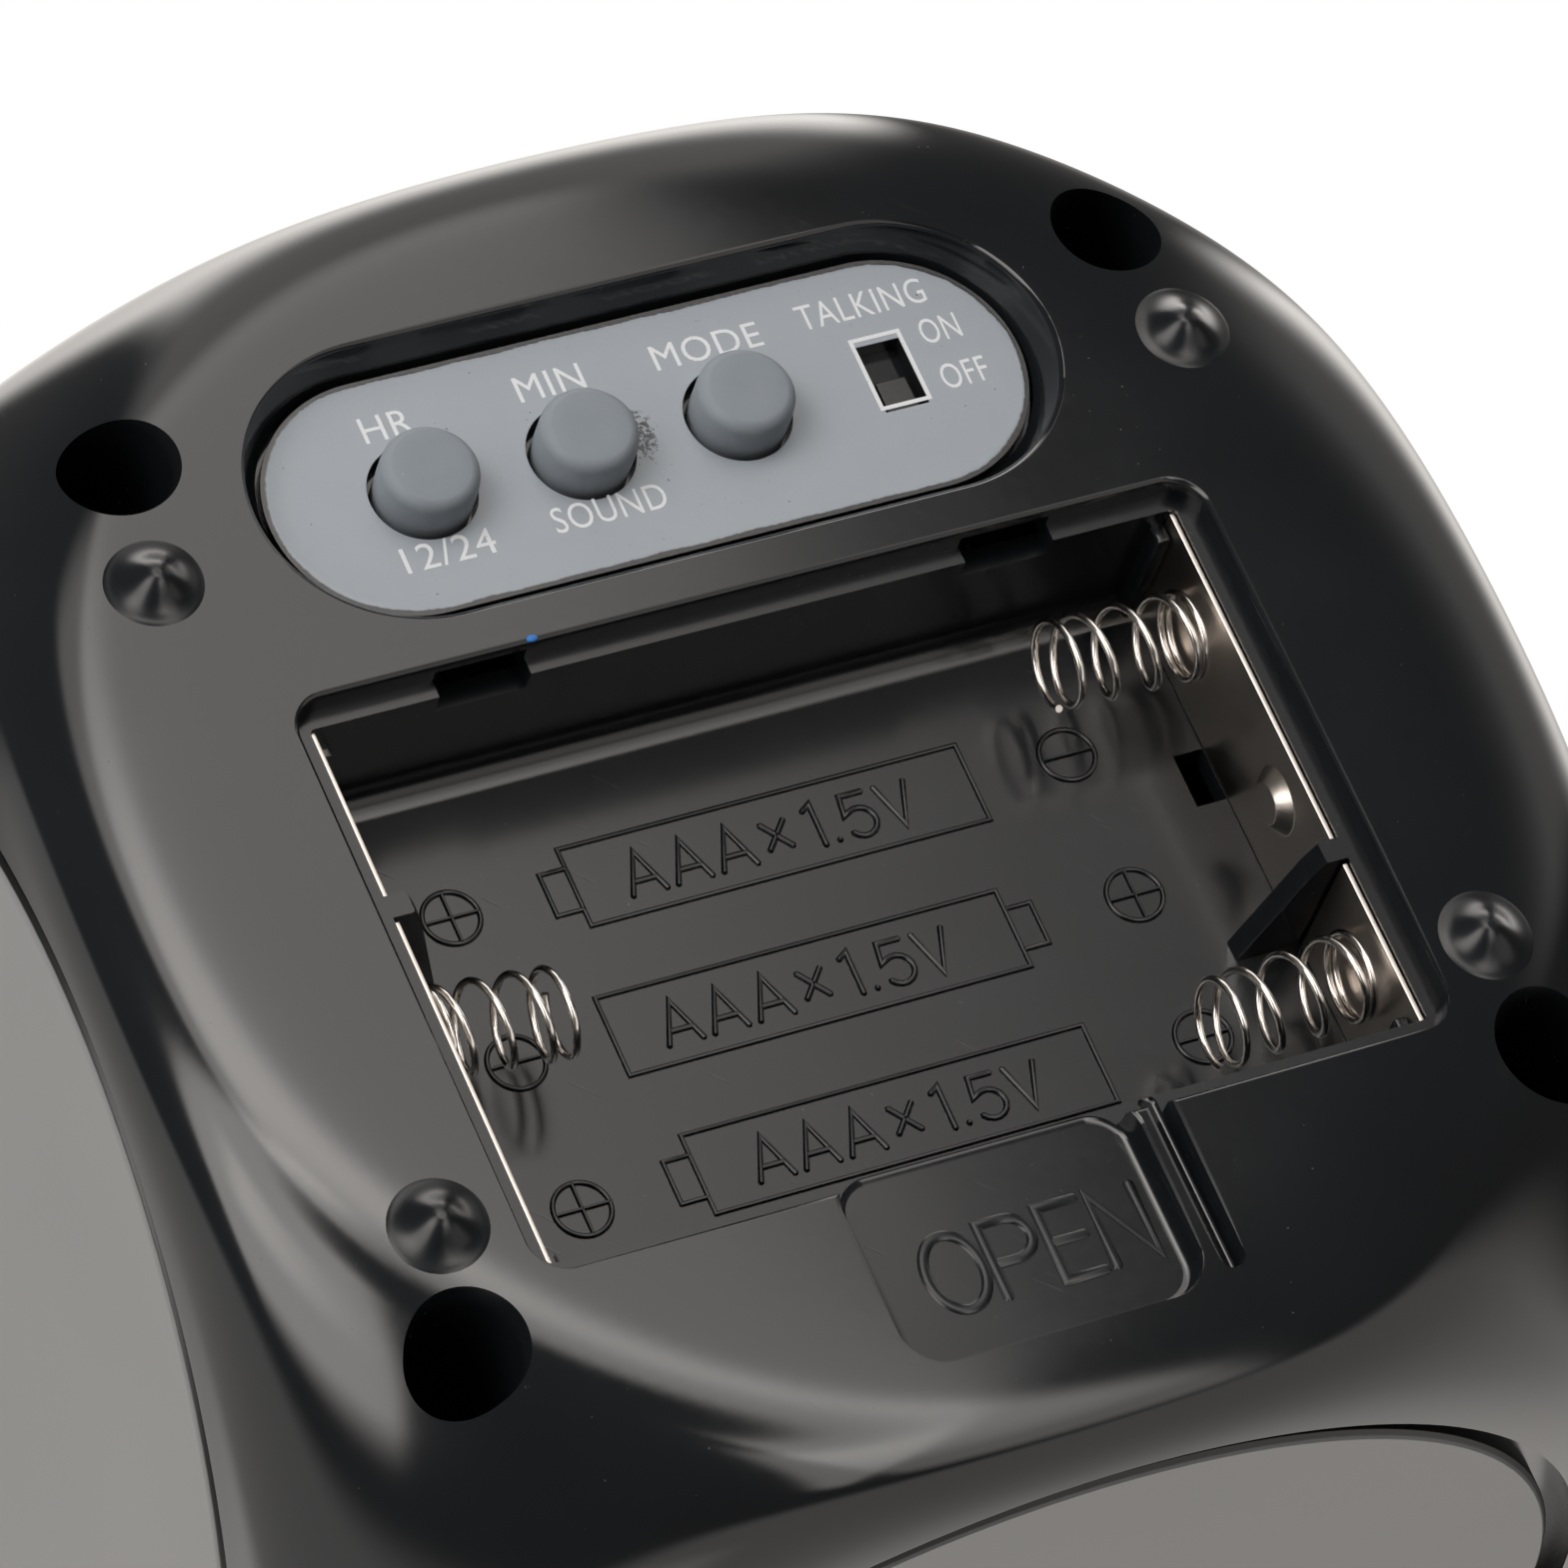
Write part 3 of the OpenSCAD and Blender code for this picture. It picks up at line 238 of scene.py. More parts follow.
# matt surfaces get an even light that weakens towards the back of the clock
even = 0.58 - along((0, 1, 0)).rise(-0.3, 0.6) * 0.5
WHITE = (1.0, 1.0, 1.0, 1.0)
WARM = (1.0, 0.955, 0.915, 1.0)
glossy = studio.add("LightPath", {}, out="Is Glossy Ray")
tint = studio.blend(glossy, WHITE, WARM)
lit = studio.add("Background", {}, tint, glossy * mirrored + (1 - glossy) * even)
sky = studio.add("Background", {}, WHITE, 1.0)
seen = studio.add("LightPath", {}, out="Is Camera Ray")
studio.add("OutputWorld", {}, studio.add("MixShader", {}, seen, lit, sky))
scene.world = world

floor_bm = bmesh.new()
bmesh.ops.create_grid(floor_bm, x_segments=1, y_segments=1, size=2.0)
floor_mesh = bpy.data.meshes.new("floor")
floor_bm.to_mesh(floor_mesh)
floor_bm.free()
floor = bpy.data.objects.new("floor", floor_mesh)
scene.collection.objects.link(floor)
floor_material = bpy.data.materials.new("pale_floor")
floor_material.use_nodes = True
floor_material.node_tree.nodes.clear()
floor_nodes = Nodes(floor_material.node_tree)
behind = floor_nodes.add("NewGeometry", {}, out="Backfacing")
from_above = floor_nodes.add("LightPath", {}, out="Is Camera Ray") * (1 - behind)
pale = floor_nodes.add("BsdfDiffuse", {}, (0.86, 0.86, 0.855, 1.0))
nothing = floor_nodes.add("BsdfTransparent", {})
floor_nodes.add("OutputMaterial", {}, floor_nodes.add("MixShader", {}, from_above, nothing, pale))
floor_mesh.materials.append(floor_material)

# square soft lamps round the clock, each with its place in millimetres, its size and its power
CLOCK_MIDDLE = Vector((0, 0, 42))
LAMPS = (("key_below", (-490, -310, -640), 0.5, 4.3), ("fill_below", (-800, 200, -300), 0.6, 1.2),
         ("key_above", (-600, -700, 900), 0.6, 6.0), ("fill_above", (800, -300, 600), 0.8, 6.0),
         ("back_above", (200, 900, 700), 0.7, 1.2))
for name, spot, size, power in LAMPS:
    lamp_data = bpy.data.lights.new(name, "AREA")
    lamp_data.size = size
    lamp_data.energy = power
    lamp = bpy.data.objects.new(name, lamp_data)
    lamp_turn = (Vector(spot) - CLOCK_MIDDLE).to_track_quat("Z", "Y").to_matrix()
    lamp.matrix_world = Matrix.Translation(Vector(spot) * MM) @ lamp_turn.to_4x4()
    lamp.visible_glossy = False
    lamp.visible_transmission = False
    scene.collection.objects.link(lamp)


# Housing. Two glossy black mouldings make a rounded cube and meet at half height.
# The skin is one smooth formula, and every recess in the base is cut from it.
def node_mm(node):
    """The lowest and highest corners of a CAD node, in millimetres."""
    low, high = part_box(node)
    return Vector(low) / MM, Vector(high) / MM


HALF_W, HALF_D, _ = node_mm("lower_housing")[1]
BASE_Z = 1.0
MID_Z = 41.65
HALF_H = MID_Z - BASE_Z
BALL_R = 58.3
SQUARENESS = 30
SEAM = 0.05
# how much the rows of faces crowd towards the roll-offs, which mirror most
CROWDING = 1.35


def skin_scale(x, y, z):
    """What a point, counted from the middle, is multiplied by to lie on the skin."""
    total = abs(x / HALF_W) ** SQUARENESS + abs(y / HALF_D) ** SQUARENESS + abs(z / HALF_H) ** SQUARENESS
    total += (math.sqrt(x * x + y * y + z * z) / BALL_R) ** SQUARENESS
    return total ** (-1 / SQUARENESS)


def skin_normal(x, y, z):
    """The skin's own direction at a point, counted from the middle."""
    p = SQUARENESS
    r = math.sqrt(x * x + y * y + z * z)
    ball = (r / BALL_R) ** (p - 1) / (BALL_R * r)
    steps = []
    for value, half in ((x, HALF_W), (y, HALF_D), (z, HALF_H)):
        steps.append(math.copysign(abs(value / half) ** (p - 1) / half, value) + ball * value)
    return Vector(steps).normalized()


def base_z(x, y):
    """Height of the base's skin over a point of the ground plan."""
    z = -HALF_H
    for _ in range(6):
        total = abs(x / HALF_W) ** SQUARENESS + abs(y / HALF_D) ** SQUARENESS
        total += (math.sqrt(x * x + y * y + z * z) / BALL_R) ** SQUARENESS
        z = -HALF_H * max(1 - total, 0.0) ** (1 / SQUARENESS)
    return z + MID_Z


def quarter(count):
    """The sine and cosine of each step through a quarter turn."""
    turns = [math.pi / 2 * i / count for i in range(count + 1)]
    return [(math.sin(t), math.cos(t)) for t in turns]


def loop_edges(ring):
    """The edges that join the points of a ring."""
    return list({e for v in ring for e in v.link_edges if all(w in ring for w in e.verts)})


def tower(bm, width, length, corner, profile, centre=(0.0, 0.0), segments=64):
    """A solid whose plan is a rectangle with round corners, built up through (outset, z) steps."""
    layers = bm.verts.layers.float_vector
    ways = layers.get("way") or layers.new("way")
    ring = bmesh.ops.create_circle(bm, cap_ends=True, radius=1.0, segments=segments)["verts"]
    half_step = Matrix.Rotation(math.pi / segments, 3, "Z")
    for v in ring:
        v[ways] = half_step @ v.co
    every = list(ring)
    for step, (outset, z) in enumerate(profile):
        if step:
            grown = bmesh.ops.extrude_edge_only(bm, edges=loop_edges(ring))["geom"]
            ring = [g for g in grown if isinstance(g, bmesh.types.BMVert)]
            every += ring
        for v in ring:
            way = v[ways]
            v.co.x = centre[0] + math.copysign(width / 2 - corner, way.x) + way.x * (corner + outset)
            v.co.y = centre[1] + math.copysign(length / 2 - corner, way.y) + way.y * (corner + outset)
            v.co.z = z
    bmesh.ops.edgeloop_fill(bm, edges=loop_edges(ring))
    bmesh.ops.recalc_face_normals(bm, faces=list({f for v in every for f in v.link_faces}))
    return every


def rounded(bm, edges, radius, segments):
    """Rounds edges off."""
    bmesh.ops.bevel(bm, geom=edges, affect="EDGES", offset=radius, segments=segments, profile=0.5,
                    material=-1, clamp_overlap=True)


def block(bm, low, high, rounding=0.0):
    """A box from corner to corner, with rounded edges."""
    made = bmesh.ops.create_cube(bm, size=1.0)["verts"]
    bmesh.ops.scale(bm, vec=[b - a for a, b in zip(low, high)], verts=made)
    bmesh.ops.translate(bm, vec=[(a + b) / 2 for a, b in zip(low, high)], verts=made)
    if rounding:
        rounded(bm, list({e for v in made for e in v.link_edges}), rounding, 3)
    return made


def prism(bm, outline, way):
    """A solid made by drawing a flat outline out along a way."""
    side = bm.faces.new([bm.verts.new(point) for point in outline])
    grown = bmesh.ops.extrude_face_region(bm, geom=[side])["geom"]
    bmesh.ops.translate(bm, vec=way, verts=[g for g in grown if isinstance(g, bmesh.types.BMVert)])
    bmesh.ops.recalc_face_normals(bm, faces=bm.faces[:])


def draft(bm, name, material):
    """An object in millimetres, still to be cut."""
    mesh = bpy.data.meshes.new(name)
    bm.to_mesh(mesh)
    bm.free()
    mesh.materials.append(material)
    obj = bpy.data.objects.new(name, mesh)
    scene.collection.objects.link(obj)
    return obj


def as_mesh(obj):
    """A new mesh of an object as its modifiers or its lettering make it."""
    return bpy.data.meshes.new_from_object(obj.evaluated_get(bpy.context.evaluated_depsgraph_get()))


def carve(body, cutter, operation="DIFFERENCE"):
    """Cuts one draft with another, or keeps what they share, and drops the second."""
    tool = body.modifiers.new("cut", "BOOLEAN")
    tool.operation = operation
    tool.solver = "EXACT"
    tool.object = cutter
    tool.material_mode = "TRANSFER"
    old, body.data = body.data, as_mesh(body)
    body.modifiers.clear()
    # a mesh that is removed takes its object with it
    bpy.data.meshes.remove(old)
    bpy.data.meshes.remove(cutter.data)


def cut(body, bm, material):
    """Cuts a draft with a bmesh, whose faces bring their material."""
    carve(body, draft(bm, "cutter", material))


def sink(body, material, *shape):
    """Cuts a recess with a tower's shape into a draft."""
    bm = bmesh.new()
    tower(bm, *shape)
    cut(body, bm, material)


# a face is on the skin if it is this near, as a share of its distance, and points the same way
SKIN_NEAR = 0.0009
SKIN_ALIKE = 0.97


def finish(obj, sharp, on_skin):
    """Brings a draft to metres and smooths it, with the skin's own normals where it is on the skin."""
    mesh = obj.data
    way = mesh.attributes.get("way")
    if way:
        mesh.attributes.remove(way)
    mesh.transform(Matrix.Scale(MM, 4))
    for face in mesh.polygons:
        face.use_smooth = True
    mesh.set_sharp_from_angle(angle=math.radians(sharp))
    # wide faces keep their own direction, and the small ones beside them bend towards it
    around = [[] for v in mesh.vertices]
    for face in mesh.polygons:
        for corner in face.vertices:
            around[corner].append((face.normal.copy(), face.area))
    limit = math.cos(math.radians(sharp))
    normals = [Vector()] * len(mesh.loops)
    for face in mesh.polygons:
        centre = face.center / MM - Vector((0, 0, MID_Z))
        skin = on_skin and abs(skin_scale(*centre) - 1) < SKIN_NEAR
        skin = skin and skin_normal(*centre).dot(face.normal) > SKIN_ALIKE
        for loop in face.loop_indices:
            corner = mesh.loops[loop].vertex_index
            if skin:
                point = mesh.vertices[corner].co / MM
                normals[loop] = skin_normal(point.x, point.y, point.z - MID_Z)
            else:
                total = Vector()
                for normal, area in around[corner]:
                    if normal.dot(face.normal) > limit:
                        total += normal * area
                normals[loop] = total.normalized() if total.length else face.normal
    mesh.normals_split_custom_set(normals)


def settle(obj, node=None, body="housing", sharp=35.0, on_skin=False):
    """Finishes a draft and sets it on its body, where it may stand for a CAD node."""
    finish(obj, sharp, on_skin)
    if node:
        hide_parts(node)
    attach(obj, body)
    return obj


def gloss_black(name, level, roughness, wear=0.15, shine=0.5):
    """Polished black plastic with fine scuffs, dust specks and a cloudy bloom."""
    paint = Finish(name, Specular_IOR_Level=shine, IOR=1.5)
    point, (x, y, z) = paint.place()
    cloud = paint.noise(point, 9.0, 4.0)
    fine = paint.noise(point, 0.6, 6.0, 0.7)
    dust = paint.noise(point, 0.32, 2.0).rise(0.75, 0.79) * cloud.rise(0.4, 0.65)
    # hair scratches all run much the same way
    spread = paint.add("CombineXYZ", {}, (x + y) * 0.12, (x - y) * 3.2, z)
    scratch = paint.noise(spread, 1.0, 2.0).rise(0.70, 0.73) * paint.noise(point, 5.0, 2.0).rise(0.48, 0.66)
    tone = paint.blend(cloud, grey(level - 3, -1.5), grey(level + 4, -2.5))
    tone = paint.blend(dust * wear, tone, grey(150))
    dull = cloud * 0.05 + fine * 0.05 + (dust + scratch * wear) * 0.3
    paint.set(Base_Color=tone, Roughness=dull + roughness)
    paint.bump(paint.noise(point, 14.0, 1.0) - scratch * wear * 0.3, 0.01)
    return paint.material


black_gloss = gloss_black("black_gloss", 24, 0.05)
black_inside = gloss_black("black_inside", 22, 0.15, 0.6)


def half_shell(name, height, below):
    """One half of the rounded cube, cut level at a height and closed."""
    bm = bmesh.new()
    bmesh.ops.create_cube(bm, size=2.0)
    bmesh.ops.subdivide_edges(bm, edges=bm.edges[:], cuts=96, use_grid_fill=True)
    for v in bm.verts:
        x, y, z = (math.sin(c * CROWDING) / math.sin(CROWDING) for c in v.co)
        x, y, z = x * HALF_W, y * HALF_D, z * HALF_H
        k = skin_scale(x, y, z)
        v.co = (x * k, y * k, z * k + MID_Z)
    halved = bmesh.ops.bisect_plane(bm, geom=bm.verts[:] + bm.edges[:] + bm.faces[:],
                                    plane_co=(0, 0, height), plane_no=(0, 0, 1),
                                    clear_outer=below, clear_inner=not below)
    rim = [g for g in halved["geom_cut"] if isinstance(g, bmesh.types.BMEdge)]
    bmesh.ops.edgeloop_fill(bm, edges=rim)
    bmesh.ops.recalc_face_normals(bm, faces=bm.faces[:])
    return draft(bm, name, black_gloss)


lower = half_shell("lower_shell", MID_Z - SEAM, True)
upper = half_shell("upper_shell", MID_Z + SEAM, False)

panel_low, panel_high = node_mm("control_plate")
PANEL_R = (panel_high.y - panel_low.y) / 2
PANEL_CENTRE = ((panel_low.x + panel_high.x) / 2, (panel_low.y + panel_high.y) / 2)
PANEL_W = panel_high.x - panel_low.x
PANEL_Z = panel_low.z
PANEL_BACK = panel_high.z
PANEL_PAD = 2.0
PANEL_GAP = 0.25
RECESS_FLARE = 0.85
RECESS_ROUND = 0.7

CONTACT_PLAY = 0.05
contact_low = node_mm("contact_left_end")[0]
BAY_HIGH = node_mm("contact_right_end")[1] + Vector((CONTACT_PLAY,) * 3)
BAY_LOW = Vector((contact_low.x - CONTACT_PLAY, contact_low.y - CONTACT_PLAY, 0))
BAY_SIZE = BAY_HIGH - BAY_LOW
BAY_CENTRE = (BAY_LOW + BAY_HIGH) / 2
BAY_WALL = 1.4
BAY_FILLET = 1.8
FLOOR_Z = BAY_HIGH.z
CONTACT_Z = contact_low.z
LEDGE = 1.05
LEDGE_DEPTH = 1.5
RIM_CORNER = 2.0
CELL_PITCH = 10.95
ROWS = [BAY_CENTRE.y + 0.1 + i * CELL_PITCH for i in (-1, 0, 1)]

WELLS = [(-29.4, -27.5), (29.4, -27.5), (-31.5, 26.6), (31.5, 26.6)]
WELL_R = 3.05
WELL_WALL = 1.6
WELL_END = 2.3
WELL_MOUTH = ((0.9, -2.5), (0.32, -0.5), (0.1, 0.25), (0, 0.8))
SCREW_LENGTH = 11.98
SCREW_SEAT_Z = node_mm("housing_screws")[1].z - SCREW_LENGTH

PLATE_R = 35.4
SEAT_R = PLATE_R + 0.95
SEAT_DEPTH = 2.3
OPENING_R = PLATE_R - 2.8
LEDGE_T = 2.0
MOUTH_DEPTH = 0.5
MOUTH_STEP = 0.14
MOUTH_ROUND = 0.16

SIDE_WALL = SEAT_DEPTH + LEDGE_T
BASE_WALL = 2.6
CORNER_WALL = 2.8
ROOF_Z = 79.7
INNER_ROUND = 3.0


def hollow():
    """The space inside the walls."""
    bm = bmesh.new()
    block(bm, (-HALF_W + SIDE_WALL, -HALF_D + SIDE_WALL, BASE_Z + BASE_WALL),
          (HALF_W - SIDE_WALL, HALF_D - SIDE_WALL, ROOF_Z), INNER_ROUND)
    space = draft(bm, "hollow", black_inside)
    bm = bmesh.new()
    bmesh.ops.create_icosphere(bm, subdivisions=4, radius=BALL_R - CORNER_WALL)
    bmesh.ops.translate(bm, vec=(0, 0, MID_Z), verts=bm.verts[:])
    carve(space, draft(bm, "ball", black_inside), "INTERSECT")
    return space


# what stands inside the lower half stays when the hollow is cut
lower_hollow = hollow()
bm = bmesh.new()
block(bm, (BAY_LOW.x - BAY_WALL, BAY_LOW.y - BAY_WALL, 0),
      (BAY_HIGH.x + BAY_WALL, BAY_HIGH.y + BAY_WALL, FLOOR_Z + BAY_WALL))
cut(lower_hollow, bm, black_inside)
sink(lower_hollow, black_inside, PANEL_W, 2 * PANEL_R, PANEL_R,
     [(PANEL_PAD, 0), (PANEL_PAD, PANEL_BACK + 1.2)], PANEL_CENTRE)
bm = bmesh.new()
for x, y in WELLS:
    steps = [(WELL_WALL, 0), (WELL_WALL, SCREW_SEAT_Z + WELL_END)]
    tower(bm, 2 * WELL_R, 2 * WELL_R, WELL_R, steps, (x, y), 32)
cut(lower_hollow, bm, black_inside)
carve(lower, lower_hollow)
carve(upper, hollow())


def plate_seats():
    """Cutter for the four stepped round openings in the sides, with their mouths rounded."""
    bm = bmesh.new()
    inset = OPENING_R - SEAT_R
    for turn, half in ((0, HALF_W), (90, HALF_D), (180, HALF_W), (270, HALF_D)):
        seat = half - SEAT_DEPTH
        mouth = half - MOUTH_DEPTH
        steps = [(inset, seat - LEDGE_T - 3), (inset, seat), (0, seat), (0, mouth)]
        steps += [(MOUTH_ROUND * (1 - c), mouth + MOUTH_STEP * i) for i, (_, c) in enumerate(quarter(4)) if i]
        steps.append((0.4, half + 2))
        made = tower(bm, 2 * SEAT_R, 2 * SEAT_R, SEAT_R, steps, segments=160)
        spot = Matrix.Translation((0, 0, MID_Z)) @ Matrix.Rotation(math.radians(turn), 4, "Z")
        bmesh.ops.transform(bm, matrix=spot @ Matrix.Rotation(math.radians(90), 4, "Y"), verts=made)
    return draft(bm, "plate_seats", black_inside)


carve(lower, plate_seats())
carve(upper, plate_seats())

# the panel's recess has a rounded rim, a sloping wall and a flat floor with the holes behind it
flare = PANEL_GAP + RECESS_FLARE
steps = [(flare + RECESS_ROUND + 0.6, -1.0)]
steps += [(flare + RECESS_ROUND * (1 - s) + 0.02, BASE_Z - 0.06 + RECESS_ROUND * (1 - c) * 0.8)
          for s, c in quarter(6)]
steps += [(PANEL_GAP, PANEL_Z + 0.15), (PANEL_GAP, PANEL_BACK)]
sink(lower, black_gloss, PANEL_W, 2 * PANEL_R, PANEL_R, steps, PANEL_CENTRE, 128)

# the rim for the battery door, and the bay with its rounding at the front
steps = [(0.5, -1.0), (0.3, BASE_Z), (0.12, BASE_Z + 0.12), (0, BASE_Z + 0.35), (0, BASE_Z + LEDGE_DEPTH)]
sink(lower, black_inside, BAY_SIZE.x + 2 * LEDGE, BAY_SIZE.y + 2 * LEDGE, RIM_CORNER, steps,
     BAY_CENTRE, 48)
bm = bmesh.new()
tower(bm, BAY_SIZE.x, BAY_SIZE.y, 0.3, [(0, 0.0), (0, FLOOR_Z)], BAY_CENTRE, 32)
bay = draft(bm, "bay", black_inside)
bend_y, bend_z = BAY_LOW.y + BAY_FILLET - 0.03, FLOOR_Z - BAY_FILLET + 0.03
outline = [(bend_y - BAY_FILLET * c, bend_z + BAY_FILLET * s) for s, c in quarter(10)]
outline += [(bend_y, FLOOR_Z + 1), (BAY_LOW.y - 1, FLOOR_Z + 1), (BAY_LOW.y - 1, FLOOR_Z - BAY_FILLET)]
bm = bmesh.new()
prism(bm, [(BAY_LOW.x - 1, y, z) for y, z in outline], (BAY_SIZE.x + 2, 0, 0))
cut(bay, bm, black_inside)

# the two ribs between the cells
RIB_T = 1.3
RIB = [(-0.5, FLOOR_Z + 0.5), (4.2, FLOOR_Z + 0.5), (4.2, FLOOR_Z), (1.9, CONTACT_Z + 1.0),
       (1.2, CONTACT_Z - 0.45), (-0.5, CONTACT_Z - 0.45)]
for sign, wall_x, y in ((1, BAY_HIGH.x, (ROWS[1] + ROWS[2]) / 2), (-1, BAY_LOW.x, (ROWS[0] + ROWS[1]) / 2)):
    bm = bmesh.new()
    prism(bm, [(wall_x - sign * x, y - RIB_T / 2, z) for x, z in RIB], (0, RIB_T, 0))
    rounded(bm, bm.edges[:], 0.12, 2)
    cut(bay, bm, black_inside)
carve(lower, bay)

# hook slots under the front ledge, and the core hole beside the middle contact
SLOT_X = 15.45
SLOT_W = 5.3
SLOT_H = 2.2
SLOT_REACH = 2.4
SLOT_Z = BASE_Z + 0.7
bm = bmesh.new()
for x in (BAY_CENTRE.x - SLOT_X, BAY_CENTRE.x + SLOT_X):
    block(bm, (x - SLOT_W / 2, BAY_LOW.y - SLOT_REACH, SLOT_Z),
          (x + SLOT_W / 2, BAY_LOW.y + 1, SLOT_Z + SLOT_H))
block(bm, (BAY_HIGH.x - 2.2, 0, FLOOR_Z - 1), (BAY_HIGH.x - 0.4, 3.3, FLOOR_Z + 3))
cut(lower, bm, black_inside)

# the four screw wells, with softened mouths
for x, y in WELLS:
    steps = [(outset, base_z(x, y) + depth) for outset, depth in WELL_MOUTH] + [(0, SCREW_SEAT_Z)]
    sink(lower, black_inside, 2 * WELL_R, 2 * WELL_R, WELL_R, steps, (x, y))

# the thumb recess slopes up to the base behind the bay, with a latch groove beside it
THUMB_LOW = Vector((-9.75, 22.9))
THUMB_HIGH = Vector((7.3, 34.7))
THUMB_CORNER = 2.3
THUMB_DEPTH = 1.7
THUMB_SLOPE = math.radians(0.6)
THUMB_BED = [(-0.55, 0), (-0.2, -0.12), (0, -0.5), (0.3, -5)]
GROOVE_LOW = Vector((8.35, 22.9))
GROOVE_HIGH = Vector((9.5, 34.0))
GROOVE_CORNER = 0.55
GROOVE_BED = [(-0.25, 0), (-0.08, -0.08), (0, -0.25), (0.1, -5)]
RIM = [(0.9, BASE_Z - 0.7), (0.42, BASE_Z - 0.03), (0.15, BASE_Z + 0.1), (0.02, BASE_Z + 0.4)]
slope = Matrix.Translation((0, THUMB_LOW.y, BASE_Z + THUMB_DEPTH)) @ Matrix.Rotation(-THUMB_SLOPE, 4, "X")
slope = slope @ Matrix.Translation((0, -THUMB_LOW.y, 0))
for low, high, corner, bed in ((THUMB_LOW, THUMB_HIGH, THUMB_CORNER, THUMB_BED),
                               (GROOVE_LOW, GROOVE_HIGH, GROOVE_CORNER, GROOVE_BED)):
    bm = bmesh.new()
    made = tower(bm, *(high - low), corner, bed, (low + high) / 2, 48)
    bmesh.ops.transform(bm, matrix=slope, verts=made)
    cut(lower, bm, black_gloss)
    sink(lower, black_gloss, *(high - low), corner, RIM, (low + high) / 2, 48)

# rails in the bay's corners keep the contacts from sliding out
RAIL = 0.8
CONTACT_ROOM = 0.4
bm = bmesh.new()
bm.from_mesh(lower.data)
for x in (BAY_HIGH.x - CONTACT_ROOM - RAIL, BAY_LOW.x + CONTACT_ROOM):
    for y in (BAY_LOW.y - 0.5, BAY_HIGH.y - 1.1):
        made = block(bm, (x, y, CONTACT_Z + 1), (x + RAIL, y + 1.6, FLOOR_Z + 0.4), 0.15)
        for face in {f for v in made if v.is_valid for f in v.link_faces}:
            face.material_index = 1
bm.to_mesh(lower.data)
bm.free()
settle(lower, "lower_housing", on_skin=True)

# the talk button's opening in the upper half
TALK_FLANGE = 2.2
TALK_GAP = 0.45
opening = node_mm("talk_button")[1].x - TALK_FLANGE + TALK_GAP
steps = [(0, 60), (0, 81.6), (0.1, 82.0), (0.4, 82.4), (0.6, 84)]
sink(upper, black_inside, 2 * opening, 2 * opening, opening, steps, (0, 0), 128)
settle(upper, "upper_housing", on_skin=True)

# Nubs. Four low domes are moulded on the base and carry the clock. Each swells out of the
# skin in a soft flare.
NUB_R = 2.5
NUB_SPREAD = 1.1
NUB_SPAN = (60.8, 39.7)
NUB_SWELL = (0.62, 2.4)
NUB_RINGS = 18
reach = NUB_R * NUB_SPREAD
steps = [(-reach * (1 - i / NUB_RINGS), 0) for i in range(1, NUB_RINGS + 1)] + [(0.0, 1), (-reach * 0.94, 1)]
nubs = bmesh.new()
for x_side, y_side in ((-1, -1), (1, -1), (-1, 1), (1, 1)):
    x, y = x_side * NUB_SPAN[0] / 2, y_side * NUB_SPAN[1] / 2
    height = base_z(x, y) - 0.01
    for v in tower(nubs, 2 * reach, 2 * reach, reach, steps, (x, y), 48):
        away = math.hypot(v.co.x - x, v.co.y - y) / NUB_R
        swell = height * math.exp(-((away / NUB_SWELL[0]) ** NUB_SWELL[1]))
        sunk = 0.05 if away > NUB_SPREAD - 0.01 else 0.008
        v.co.z = base_z(v.co.x, v.co.y) + (0.5 if v.co.z > 0.5 else sunk - swell)
bmesh.ops.recalc_face_normals(nubs, faces=nubs.faces[:])
worn_gloss = gloss_black("worn_gloss", 24, 0.2, 0.3, 0.3)
settle(draft(nubs, "nubs", worn_gloss), sharp=60)

# Side plates. Round moulded plates with a grey metallic lacquer sit in the four stepped openings.
# The front one carries the display window, the rear one the speaker's holes.
WELD = 0.002
FLAT = math.radians(0.6)
SHARP = math.radians(32.0)
RIM_R = PLATE_R - 0.45


def softened(node, name, rounding, material, segments=3):
    """A copy of a CAD node, in millimetres, whose sharp edges are rounded a little."""
    bm = bmesh.new()
    bm.from_mesh(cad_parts[node].data)
    bmesh.ops.scale(bm, vec=(1 / MM,) * 3, verts=bm.verts[:])
    bmesh.ops.remove_doubles(bm, verts=bm.verts[:], dist=WELD)
    bmesh.ops.dissolve_limit(bm, angle_limit=FLAT, verts=bm.verts[:], edges=bm.edges[:])
    edges = [e for e in bm.edges if e.is_manifold and e.calc_face_angle() > SHARP]
    rounded(bm, edges, rounding, segments)
    for face in bm.faces:
        face.material_index = 0
    return draft(bm, name, material)


def trimmed(plate, across):
    """The rim is turned down a little, so that a dark gap shows all round it."""
    k = RIM_R / PLATE_R
    for v in plate.data.vertices:
        beside, up = v.co[across], v.co.z - MID_Z
        if math.hypot(beside, up) > RIM_R - 1:
            v.co[across], v.co.z = beside * k, up * k + MID_Z
    return plate


